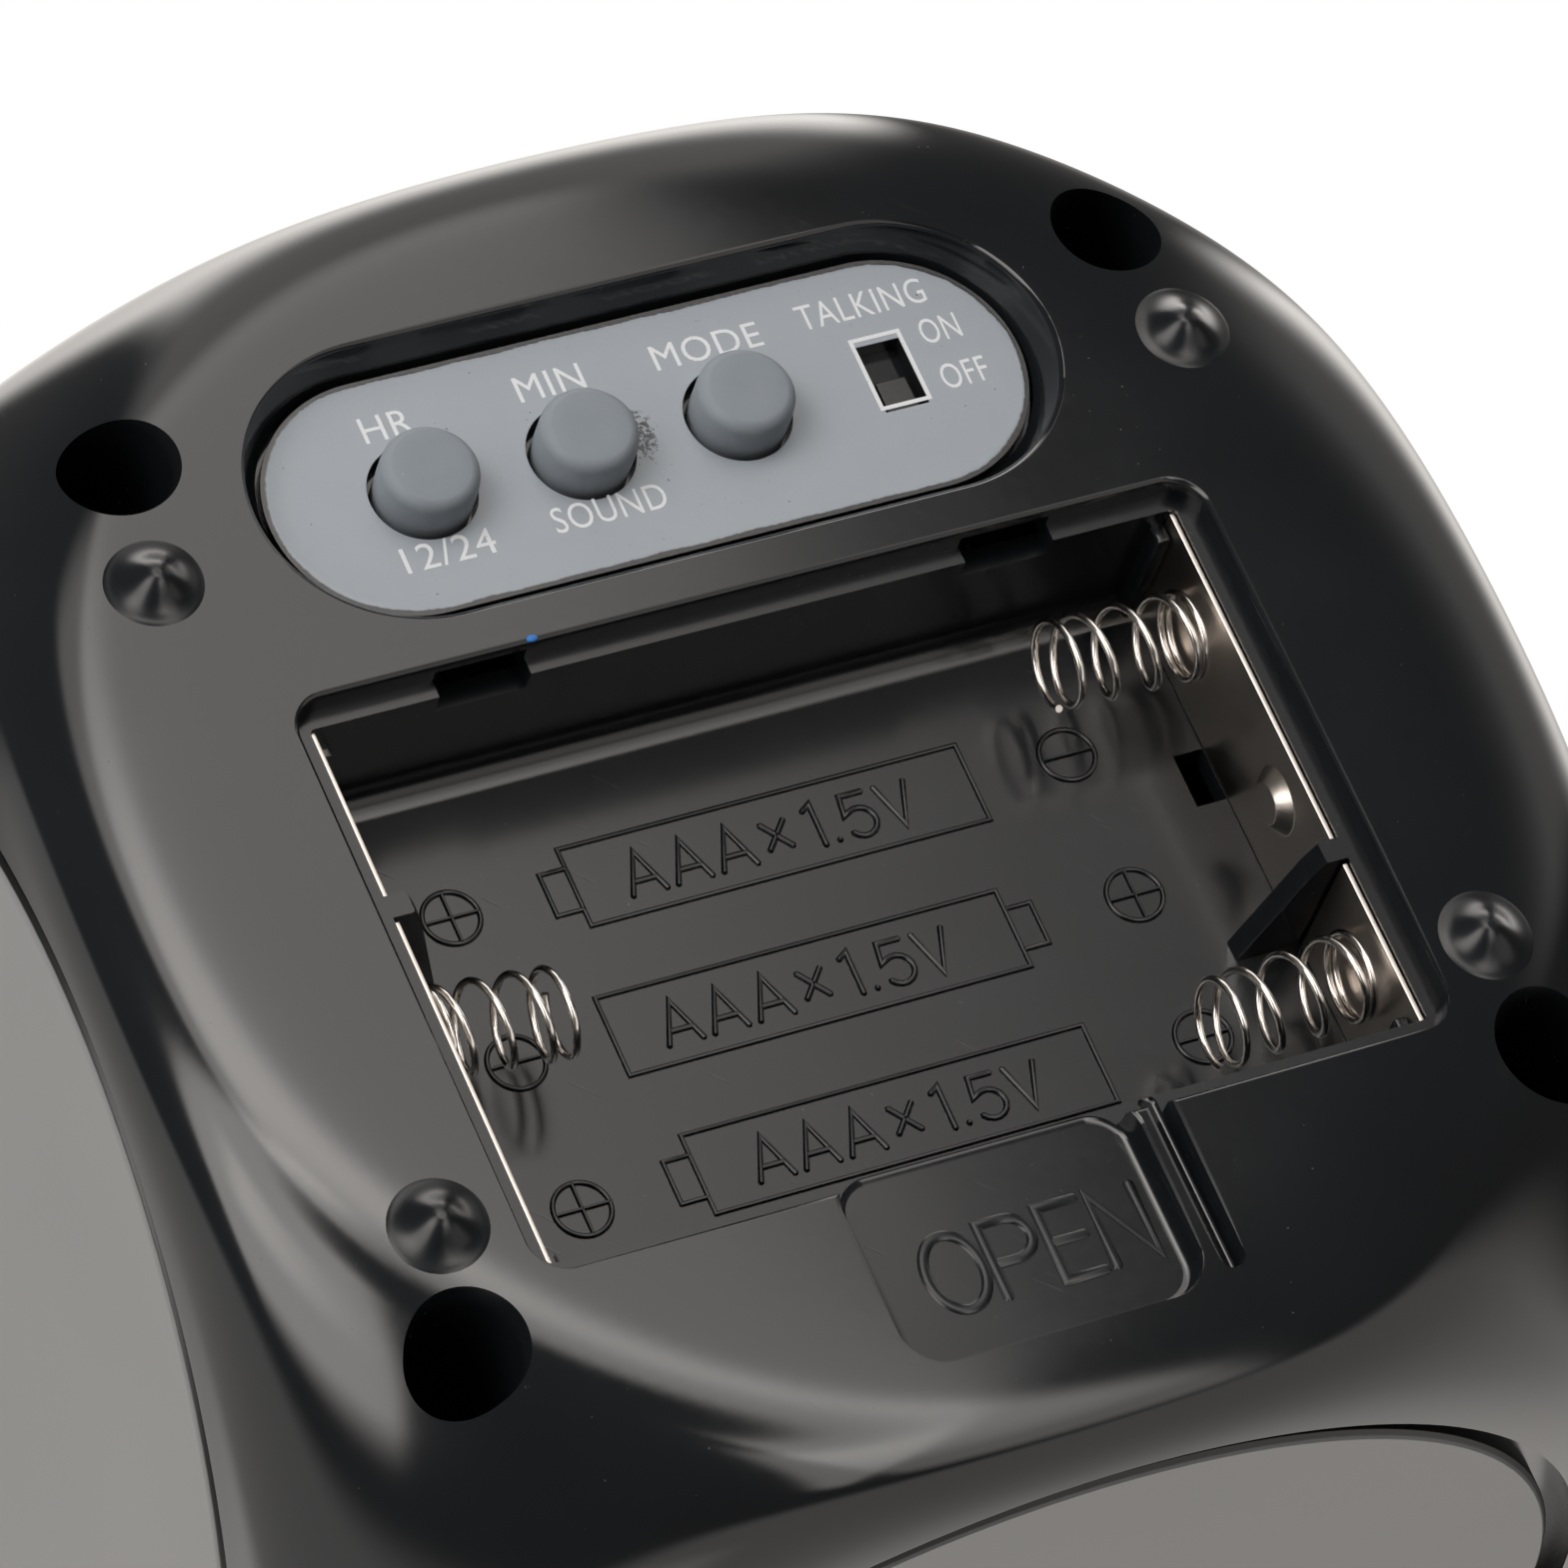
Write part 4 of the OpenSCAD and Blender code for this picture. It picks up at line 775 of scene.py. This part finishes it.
def lacquer(name, across):
    """Satin grey metallic paint with a fine grain. It stops at the rim, which is painted black as the shade
    in the gap round the plate.
    """
    paint = Finish(name, Specular_IOR_Level=0.45)
    point, place = paint.place()
    beside, up = place[across], place[2] - MID_Z
    # painted shade: the rim is coloured black, so that the gap round the plate looks dark
    painted_rim_shade = ((beside * beside + up * up) ** 0.5).rise(RIM_R - 0.3, RIM_R - 0.2)
    grain = paint.noise(point, 0.12, 2.0)
    cloud = paint.noise(point, 22.0, 2.0)
    tone = paint.blend(grain * 0.5 + cloud * 0.5, grey(118, 1), grey(136, 2))
    specks = paint.noise(point, 0.5, 1.0).rise(0.80, 0.83)
    tone = paint.blend(painted_rim_shade, paint.blend(specks * 0.5, tone, grey(96)), grey(18))
    paint.set(Base_Color=tone, Roughness=grain * 0.06 + 0.36, Metallic=(1 - painted_rim_shade) * 0.1)
    paint.bump(cloud, 0.02)
    return paint.material


end_lacquer = lacquer("end_lacquer", 1)
face_lacquer = lacquer("face_lacquer", 0)
for side, paint, across in (("left", end_lacquer, 1), ("right", end_lacquer, 1),
                            ("front", face_lacquer, 0), ("rear", face_lacquer, 0)):
    disc = softened(side + "_plate", side + "_disc", 0.3, paint)
    settle(trimmed(disc, across), side + "_plate")


# Control plate. A thin black moulding, sprayed pale blue grey except for its outermost rim,
# where the black shows. The paint is chipped between two of the keys and scuffed elsewhere.
def plate_paint():
    paint = Finish("silver_paint_coat", Specular_IOR_Level=0.7)
    point, (x, y, z) = paint.place()
    beyond = (abs(x - PANEL_CENTRE[0]) - (PANEL_W / 2 - PANEL_R)).highest(0)
    across = y - PANEL_CENTRE[1]
    inward = PANEL_R - (beyond * beyond + across * across) ** 0.5
    wave = paint.noise(point, 2.4, 2.0) - 0.5
    fringe = paint.noise(point, 0.35, 2.0) - 0.5
    painted = (inward + wave * 0.28 + fringe * 0.12).rise(0.26, 0.36)
    # the chipped place is on the right of the middle key
    dx, dy = x + 0.75, y + 22.6
    near = 1 - ((dx * dx + dy * dy * 0.35) ** 0.5).rise(0.5, 1.5)
    chips = paint.noise(point, 0.28, 3.0, 0.6) + near * 0.23
    chipped = chips.rise(0.695, 0.72) * (paint.noise(point, 3.0, 1.0).rise(0.5, 0.6).highest(near))
    smudge = paint.noise(point, 4.5, 4.0)
    tone = paint.blend(smudge, (0.262, 0.288, 0.318, 1), (0.320, 0.346, 0.374, 1))
    tone = paint.blend(paint.noise(point, 0.09, 1.0) * 0.35, tone, (0.35, 0.375, 0.40, 1))
    shown = painted * (1 - chipped) * (z < PANEL_Z + 0.05)
    tone = paint.blend(shown, grey(24), tone)
    paint.set(Base_Color=tone, Roughness=smudge * 0.1 + shown * 0.16 + 0.2, Metallic=shown * 0.1)
    paint.bump(shown * 0.6 + paint.noise(point, 0.5, 2.0) * 0.25, 0.02)
    return paint.material


settle(softened("control_plate", "control_face", 0.14, plate_paint()), "control_plate")


def white_print():
    """Screen printing, worn through to the paint in a few pinholes."""
    ink = Finish("white_print", Roughness=0.5)
    point, _ = ink.place()
    worn = ink.noise(point, 0.16, 3.0, 0.7).rise(0.62, 0.74)
    ink.set(Base_Color=ink.blend(worn, grey(232), (0.29, 0.32, 0.35, 1)))
    return ink.material


LEGENDS = (("HR", (-13.95, -26.7), 2.9), ("12/24", (-13.65, -18.5), 5.3), ("MIN", (-4.3, -26.9), 3.9),
           ("SOUND", (-4.2, -18.65), 6.6), ("MODE", (5.0, -26.8), 6.4), ("TALKING", (14.4, -27.05), 7.6),
           ("ON", (18.05, -24.45), 2.3), ("OFF", (18.25, -21.45), 2.75))
LEGEND_H = 1.6
LEGEND_Z = PANEL_Z - 0.003
INK_T = 0.012


def legend(bm, words, centre, width):
    """Flat lettering that reads from below, fitted to a width around its centre."""
    curve = bpy.data.curves.new("words", "FONT")
    curve.body = words
    curve.size = 2.0
    curve.space_character = 1.06
    curve.resolution_u = 4
    curve.extrude = 0.5
    holder = bpy.data.objects.new("words", curve)
    scene.collection.objects.link(holder)
    mesh = as_mesh(holder)
    bpy.data.curves.remove(curve)
    count = len(bm.verts)
    bm.from_mesh(mesh)
    bpy.data.meshes.remove(mesh)
    bm.verts.ensure_lookup_table()
    made = bm.verts[count:]
    spans = [(min(values), max(values)) for values in zip(*(v.co for v in made))]
    for v in made:
        u, w, t = ((value - low) / (high - low) for value, (low, high) in zip(v.co, spans))
        v.co = (centre[0] + (u - 0.5) * width, centre[1] - (w - 0.5) * LEGEND_H, LEGEND_Z - t * INK_T)


bm = bmesh.new()
for words_placed in LEGENDS:
    legend(bm, *words_placed)
# the line round the switch's window
LEFT, FRONT, RIGHT, BACK = 12.75, -25.05, 15.85, -20.35
LINE = 0.24
for x0, y0, x1, y1 in ((LEFT, FRONT, RIGHT, FRONT + LINE), (LEFT, BACK - LINE, RIGHT, BACK),
                       (LEFT, FRONT + LINE, LEFT + LINE, BACK - LINE),
                       (RIGHT - LINE, FRONT + LINE, RIGHT, BACK - LINE)):
    block(bm, (x0, y0, PANEL_Z - 0.014), (x1, y1, PANEL_Z - 0.002))
settle(draft(bm, "legends", white_print()))

# Keys. Three caps of grey silicone rubber stand through the plate, with softly rounded rims,
# a wide flange behind the plate, and white dust clinging to their skin.
CAP_R = 2.72
CAP_ROUND = 0.75
CAP_LEAN = Vector((0.16, -0.12, 0))
FLANGE_T = 0.8


def rubber():
    skin = Finish("cap_rubber", Specular_IOR_Level=0.35)
    point, _ = skin.place()
    mottle = skin.noise(point, 2.0, 4.0)
    dust = skin.noise(point, 0.22, 2.0).rise(0.765, 0.79) * skin.noise(point, 1.6, 1.0).rise(0.42, 0.6)
    tone = skin.blend(mottle, (0.228, 0.250, 0.272, 1), (0.272, 0.294, 0.315, 1))
    tone = skin.blend(dust * 0.8, tone, (0.66, 0.68, 0.70, 1))
    skin.set(Base_Color=tone, Roughness=mottle * 0.12 + 0.52)
    skin.bump(skin.noise(point, 0.3, 3.0), 0.015)
    return skin.material


cap_rubber = rubber()
for key in ("hr", "min", "mode"):
    low, high = node_mm(key + "_button")
    flange = (high.x - low.x) / 2 - CAP_R
    flange_z = high.z - FLANGE_T
    steps = [(-CAP_ROUND + CAP_ROUND * s, low.z + 0.04 + CAP_ROUND * (1 - c)) for s, c in quarter(8)]
    steps[0] = (-CAP_ROUND - 0.6, low.z)
    steps += [(0.03, low.z + CAP_ROUND + 0.5), (0.03, flange_z - 0.2), (0.2, flange_z),
              (flange - 0.1, flange_z), (flange, flange_z + 0.1), (flange, high.z - 0.1),
              (flange - 0.1, high.z)]
    bm = bmesh.new()
    for v in tower(bm, 2 * CAP_R, 2 * CAP_R, CAP_R, steps, ((low + high) / 2).xy, 72):
        if v.co.z < flange_z - 0.1:
            v.co += CAP_LEAN
    settle(draft(bm, key + "_cap", cap_rubber), key + "_button", key + "_key", 40)

# Battery marks. Raised lines on the bay's floor show how each cell lies: an outline with its
# lettering, and a ringed plus or minus at each end. They are cut into the mould by a round tool.
RIDGE = ((-1, -0.3), (-0.8, 0.55), (-0.35, 0.95), (0.35, 0.95), (0.8, 0.55), (1, -0.3))


def stroke(bm, points, width, height, place, closed=False):
    """A rounded ridge along a line; place turns (right, up, out) into a point of the scene."""
    points = [Vector(p) for p in points]
    count = len(points)
    rows = []
    for i, p in enumerate(points):
        before = p - points[i - 1] if closed or i else None
        after = points[(i + 1) % count] - p if closed or i < count - 1 else None
        ways = [way.normalized() for way in (before, after) if way]
        way = (ways[0] + ways[-1]).normalized()
        side = Vector((-way.y, way.x))
        widen = min(1 / max(side.dot(Vector((-ways[0].y, ways[0].x))), 0.3), 2.0)
        half = side * width / 2 * widen
        rows.append([bm.verts.new(place(*(p + half * a), h * height)) for a, h in RIDGE])
    for i in range(count if closed else count - 1):
        first, second = rows[i], rows[(i + 1) % count]
        for k in range(len(RIDGE)):
            bm.faces.new((first[k - 1], first[k], second[k], second[k - 1]))
    if not closed:
        for row, p, other in ((rows[0], points[0], points[1]), (rows[-1], points[-1], points[-2])):
            tip = bm.verts.new(place(*(p + (p - other).normalized() * width * 0.42), -0.1 * height))
            for k in range(len(RIDGE)):
                bm.faces.new((row[k - 1], row[k], tip))


def arc(centre, radius, start, end, steps, squeeze=1.0):
    """Points along a circle, in degrees."""
    turns = [math.radians(start + (end - start) * i / steps) for i in range(steps + 1)]
    return [(centre[0] + squeeze * radius * math.cos(t), centre[1] + radius * math.sin(t)) for t in turns]


def on_floor(origin):
    return lambda right, up, out: (origin[0] + right, origin[1] - up, FLOOR_Z + 0.02 - out)


MARK_H = 0.2
RING_W = 0.34
OUTLINE_W = RING_W * 0.9
LETTER_W = RING_W * 1.15
SIGN_W = RING_W * 0.75
LABEL_W = 23.7
LABEL_H = 4.85
PIN_LOW, PIN_HIGH, PIN_LENGTH = 1.05, 3.65, 1.55
LETTER_A = [[(0, 0), (1.02, 2.6), (2.04, 0)], [(0.4, 0.85), (1.66, 0.85)]]
LETTERS = [(0, LETTER_A), (2.66, LETTER_A), (5.35, LETTER_A),
           (8.3, [[(0, 0.55), (1.45, 2.2)], [(0.02, 2.2), (1.4, 0.5)]]),
           (10.9, [[(0, 2.3), (0.56, 2.66), (0.54, 0.0)]]),
           (12.25, [[(0, 0.08), (0.1, 0.2)]]),
           (13.0, [[(1.6, 2.62), (0.25, 2.62), (0.08, 1.42)] + arc((0.88, 0.86), 0.87, 125, -145, 12)]),
           (15.3, [[(0, 2.66), (0.9, 0.02), (1.8, 2.66)]])]
# each cell's outline: its left front corner, where its lettering starts, and which end has the pin
CELLS = ((-11.6, 0.85, 2.9, -1), (-13.15, 9.85, 2.75, 1), (-11.95, 18.8, 3.05, -1))
RING_R = 1.58
RINGS = ((-18.7, -1.7, 1), (17.9, -1.7, 0), (-18.7, 7.4, 0), (17.9, 7.4, 1), (-18.7, 16.5, 1),
         (17.9, 16.5, 0))
bm = bmesh.new()
for left, bottom, text, end in CELLS:
    place = on_floor((left, bottom))
    stroke(bm, [(0, 0), (LABEL_W, 0), (LABEL_W, LABEL_H), (0, LABEL_H)], OUTLINE_W, MARK_H, place, True)
    edge = 0 if end < 0 else LABEL_W
    tip = edge + end * PIN_LENGTH
    stroke(bm, [(edge, PIN_HIGH), (tip, PIN_HIGH), (tip, PIN_LOW), (edge, PIN_LOW)], OUTLINE_W, MARK_H, place)
    for offset, lines in LETTERS:
        for line in lines:
            stroke(bm, [(text + offset + a, 1.0 + b) for a, b in line], LETTER_W, MARK_H, place)
for x, y, plus in RINGS:
    place = on_floor((x, y))
    stroke(bm, arc((0, 0), RING_R, 0, 350, 35), RING_W, MARK_H, place, True)
    stroke(bm, [(-RING_R, 0), (RING_R, 0)], SIGN_W, MARK_H, place)
    if plus:
        stroke(bm, [(0, -RING_R), (0, RING_R)], SIGN_W, MARK_H, place)
bmesh.ops.recalc_face_normals(bm, faces=bm.faces[:])
mark_black = gloss_black("mark_black", 9, 0.26, 0.0, 0.4)
settle(draft(bm, "battery_marks", mark_black), sharp=50)

# the word in the thumb recess has wider and softer lines
WORD_FOOT = Vector((-2.82, 31.7))
WORD_W = 0.72
WORD_H = 0.14
WORD = [[(6.3, 0.05), (6.3, 4.4), (8.85, 0.05), (8.85, 4.4)],
        [(5.7, 4.4), (3.4, 4.4), (3.4, 0.05), (5.75, 0.05)], [(3.4, 2.3), (5.45, 2.3)],
        [(0, 0), (0, 4.4), (1.4, 4.4)] + arc((1.45, 3.2), 1.2, 90, -90, 10) + [(1.4, 2.0), (0.3, 2.0)]]


def in_recess(right, up, out):
    y = WORD_FOOT.y - up
    z = BASE_Z + THUMB_DEPTH - math.tan(THUMB_SLOPE) * (y - THUMB_LOW.y)
    return WORD_FOOT.x + right, y, z + 0.03 - out


bm = bmesh.new()
stroke(bm, arc((-2.15, 2.2), 2.2, 0, 350, 35, 0.72), WORD_W, WORD_H, in_recess, True)
for line in WORD:
    stroke(bm, line, WORD_W, WORD_H, in_recess)
bmesh.ops.recalc_face_normals(bm, faces=bm.faces[:])
settle(draft(bm, "thumb_word", worn_gloss), sharp=60)


# Contacts. Strips of nickel plated spring steel are pushed down behind rails in the bay's ends.
# Rolling leaves a lengthwise grain; the plating has yellowed a little.
def plated(name, level, warmth, roughness, grain):
    metal = Finish(name, Metallic=1.0)
    point, (x, y, z) = metal.place()
    cloud = metal.noise(point, 3.0, 4.0)
    lines = metal.add("CombineXYZ", {}, x * 6, y * 0.4, z * 8)
    lines = metal.noise(lines, 1.0, 3.0, 0.7)
    tone = metal.blend(cloud, grey(level, warmth), grey(level + 18, warmth * 0.6))
    tone = metal.blend(metal.noise(point, 0.25, 3.0).rise(0.68, 0.76) * 0.5, tone, grey(70, 6))
    metal.set(Base_Color=tone, Roughness=cloud * 0.12 + lines * grain + roughness)
    metal.bump(lines, 0.004)
    return metal.material


nickel = plated("nickel_plate", 178, 9, 0.2, 0.12)
for place in ("left_end", "left_pair", "right_end", "right_pair"):
    settle(softened("contact_" + place, "strip_" + place, 0.05, nickel, 2), "contact_" + place)


# Springs. Nickel plated steel wire is wound close for a turn and a half at the plate, and more
# narrowly at the free end. Each battery spring leans a little its own way, as after some use.
def tube(bm, points, radius, sides=14):
    """A closed round tube along a line of points."""
    points = [Vector(p) for p in points]
    side = Vector((0, 0, 1))
    turns = [2 * math.pi * k / sides for k in range(sides)]
    rows = []
    for i, p in enumerate(points):
        way = (points[min(i + 1, len(points) - 1)] - points[max(i - 1, 0)]).normalized()
        side = (side - way * side.dot(way)).normalized()
        other = way.cross(side)
        rows.append([bm.verts.new(p + radius * (math.cos(t) * side + math.sin(t) * other)) for t in turns])
    for first, second in zip(rows, rows[1:]):
        for k in range(sides):
            bm.faces.new((first[k - 1], first[k], second[k], second[k - 1]))
    bm.faces.new(rows[0])
    bm.faces.new(rows[-1])
    bmesh.ops.recalc_face_normals(bm, faces=bm.faces[:])


def coil(radius, foot, turns, tip, length, steps=40):
    """Points of a spring: how far along it, and where on the circle. Foot and tip are the closer
    ends, as turns and pitch."""
    pitch = (length - foot[0] * foot[1] - tip[0] * tip[1]) / turns
    points = []
    for i in range(int(steps * (foot[0] + turns + tip[0])) + 1):
        turn = i / steps
        past = max(turn - foot[0], 0)
        along = min(turn, foot[0]) * foot[1] + min(past, turns) * pitch + max(past - turns, 0) * tip[1]
        angle = 2 * math.pi * turn
        points.append((along, radius * math.cos(angle), radius * math.sin(angle)))
    return points


wire = plated("wire_plate", 205, 7, 0.10, 0.05)
WIRE_R = 0.21
SPRING_R = 2.4
# each with its way along X, its length, and how far its foot and its tip stand off its row
SPRINGS = (("spring_row_one", "coil_one", -1, 8.75, 0.0, -0.3),
           ("spring_row_two", "coil_two", 1, 7.9, 0.3, 1.1),
           ("spring_row_three", "coil_three", -1, 9.3, 0.1, 0.8))
for node, name, way, length, shift, lean in SPRINGS:
    low, high = node_mm(node)
    foot_x = (low.x if way > 0 else high.x) + way * WIRE_R
    middle = (low + high) / 2
    turns = coil(SPRING_R, (1.6, 0.47), 2.7, (1.1, 0.8), length - 2 * WIRE_R)
    points = [(foot_x + way * along, middle.y + a * way + shift + (lean - shift) * along / length,
               middle.z + b) for along, a, b in turns]
    bm = bmesh.new()
    tube(bm, points, WIRE_R)
    settle(draft(bm, name, wire), node, sharp=60)

# the talk button's own spring is thicker and stands upright
TALK_WIRE_R = 0.4
low, high = node_mm("talk_spring")
height = high.z - low.z
turns = coil((high.x - low.x) / 2 - TALK_WIRE_R, (1, 1.6), 3, (1, 1.6), height - 2 * TALK_WIRE_R)
bm = bmesh.new()
tube(bm, [(a, b, low.z + TALK_WIRE_R + along) for along, a, b in turns], TALK_WIRE_R)
talk_coil = settle(draft(bm, "talk_coil", wire), "talk_spring", sharp=60)
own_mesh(talk_coil)


# Inside. Boards, screws, the slide switch and the speaker keep their CAD forms and get the
# finish of the real thing: green solder mask, steel, tin, black plastic and pulp.
def coat(nodes, material):
    for node in nodes:
        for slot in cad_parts[node].material_slots:
            slot.material = material


def plain(name, first, second, roughness, size=3.0):
    """A moulded or formed material with a soft mottle and a fine surface."""
    made = Finish(name)
    point, _ = made.place()
    mottle = made.noise(point, size, 4.0)
    fine = made.noise(point, 0.2, 3.0)
    made.set(Base_Color=made.blend(mottle, first, second), Roughness=fine * 0.12 + roughness)
    made.bump(fine, 0.01)
    return made.material


def solder_mask():
    board = Finish("board_mask", Coat_Weight=0.4, Coat_Roughness=0.2)
    point, _ = board.place()
    cells = board.add("TexVoronoi", {"feature": "DISTANCE_TO_EDGE"}, point, 0.28)
    tracks = 1 - cells.rise(0.03, 0.06)
    pads = 1 - board.add("TexVoronoi", {}, point, 0.5).rise(0.2, 0.24)
    tone = board.blend(tracks, (0.010, 0.075, 0.030, 1), (0.020, 0.130, 0.050, 1))
    tone = board.blend(pads, tone, (0.55, 0.55, 0.52, 1))
    board.set(Base_Color=tone, Roughness=board.noise(point, 1.0) * 0.1 + 0.32, Metallic=pads * 0.9)
    board.bump(tracks * 0.6 + pads, 0.03)
    return board.material


coat(("key_board", "main_board", "talk_board"), solder_mask())
coat(("housing_screws", "main_board_screws", "speaker_screws", "talk_board_screws", "key_board_screws"),
     plated("screw_zinc", 176, 3, 0.24, 0.1))
coat(("speaker_basket",), plated("basket_steel", 150, 1, 0.32, 0.1))
coat(("slide_switch", "speaker_ring"), plated("tin", 170, 2, 0.28, 0.15))
coat(("key_switches", "voice_chip", "talk_switch"), plain("black_moulding", grey(26), grey(36), 0.38))
coat(("display_holder",), plain("white_moulding", grey(214), grey(228, 3), 0.35))
coat(("contact_strip",), plain("strip_silicone", grey(70), grey(96), 0.6, 0.6))
coat(("speaker_cone",), plain("cone_pulp", grey(30, 2), grey(48, 4), 0.8, 0.5))

# Fleck. A drop of blue paint has dried on the edge of the battery door's rim, at the front.
# It is a small flat bead of enamel, stuck to the plastic.
bm = bmesh.new()
bmesh.ops.create_icosphere(bm, subdivisions=3, radius=0.22)
bmesh.ops.scale(bm, vec=(1.5, 1.0, 0.5), verts=bm.verts[:])
bmesh.ops.translate(bm, vec=(-12.3, BAY_LOW.y - LEDGE - 0.2, BASE_Z + 0.04), verts=bm.verts[:])
enamel = plain("blue_paint", (0.02, 0.13, 0.42, 1), (0.03, 0.19, 0.55, 1), 0.4, 0.2)
settle(draft(bm, "paint_fleck", enamel))

# Slide switch. The knob is a nib of black plastic on the switch behind the plate, seen through
# the window in the control plate.
nib = softened("switch_knob", "knob_nib", 0.12, plain("knob_plastic", grey(16), grey(26), 0.3))
settle(nib, "switch_knob", "talking_knob")


# Talk button. The top of the clock is one big satin black button with a shallow dome, moulded
# in plastic. It slides in the upper half's opening, on a spring over its own switch.
def satin():
    skin = Finish("button_satin", Specular_IOR_Level=0.45)
    point, _ = skin.place()
    grain = skin.noise(point, 0.16, 2.0)
    cloud = skin.noise(point, 12.0, 3.0)
    tone = skin.blend(cloud, grey(30), grey(38, 1))
    skin.set(Base_Color=tone, Roughness=grain * 0.12 + cloud * 0.08 + 0.34)
    skin.bump(grain, 0.012)
    return skin.material


coat(("talk_button",), satin())


# Display. A clear window is snapped into the front plate; the glass behind it shows the time
# in dark segments on grey green.
def grey_green_glass():
    glass = Finish("lcd_glass", Specular_IOR_Level=0.5)
    point, _ = glass.place()
    tone = glass.blend(glass.noise(point, 9.0, 2.0), (0.235, 0.265, 0.205, 1), (0.275, 0.300, 0.235, 1))
    glass.set(Base_Color=tone, Roughness=glass.noise(point, 0.6) * 0.04 + 0.08)
    return glass.material


def clear_plastic():
    clear = Finish("window_clear", Transmission_Weight=1.0, IOR=1.49, Base_Color=(0.97, 0.98, 0.98, 1))
    point, _ = clear.place()
    clear.set(Roughness=clear.noise(point, 1.4, 3.0).rise(0.5, 0.8) * 0.03 + 0.015)
    clear.bump(clear.noise(point, 9.0, 1.0), 0.01)
    return clear.material


coat(("display_glass",), grey_green_glass())
coat(("display_window",), clear_plastic())

# each segment's place in a digit, and whether it lies or stands
SEGMENTS = {"a": (0, 1, True), "d": (0, -1, True), "g": (0, 0, True), "b": (1, 0.5, False),
            "c": (1, -0.5, False), "f": (-1, 0.5, False), "e": (-1, -0.5, False)}
DIGITS = ((-14.2, "bc"), (-6.0, "abged"), (5.0, "abcdef"), (13.4, "abcdef"))
DIGIT_W, DIGIT_H, BAR_W, BAR_GAP = 5.6, 11.5, 1.25, 0.35
DOT_X, DOT_UP, DOT_SIZE = -0.4, 2.2, 1.5
SLANT = 0.12
INK_DEPTH = 0.04
glass_low, glass_high = node_mm("display_glass")
glass_middle = (glass_low.z + glass_high.z) / 2


def bar(bm, right, up, length, width, lying):
    """One pointed segment on the face of the glass."""
    half, w = length / 2, width / 2
    shape = [(-half, 0), (-half + w, w), (half - w, w), (half, 0), (half - w, -w), (-half + w, -w)]
    if not lying:
        shape = [(b, -a) for a, b in shape]
    outline = [(right + a + SLANT * (up + b), glass_low.y - 0.03, glass_middle + up + b) for a, b in shape]
    prism(bm, outline, (0, INK_DEPTH, 0))


bm = bmesh.new()
for x, lit_bars in DIGITS:
    for name in lit_bars:
        across, up, lying = SEGMENTS[name]
        length = (DIGIT_W if lying else DIGIT_H / 2) - BAR_GAP
        bar(bm, x + across * DIGIT_W / 2, up * DIGIT_H / 2, length, BAR_W, lying)
for up in (-DOT_UP, DOT_UP):
    bar(bm, DOT_X, up, DOT_SIZE, DOT_SIZE, True)
settle(draft(bm, "digits", plain("segment_ink", grey(18), grey(28), 0.3)))
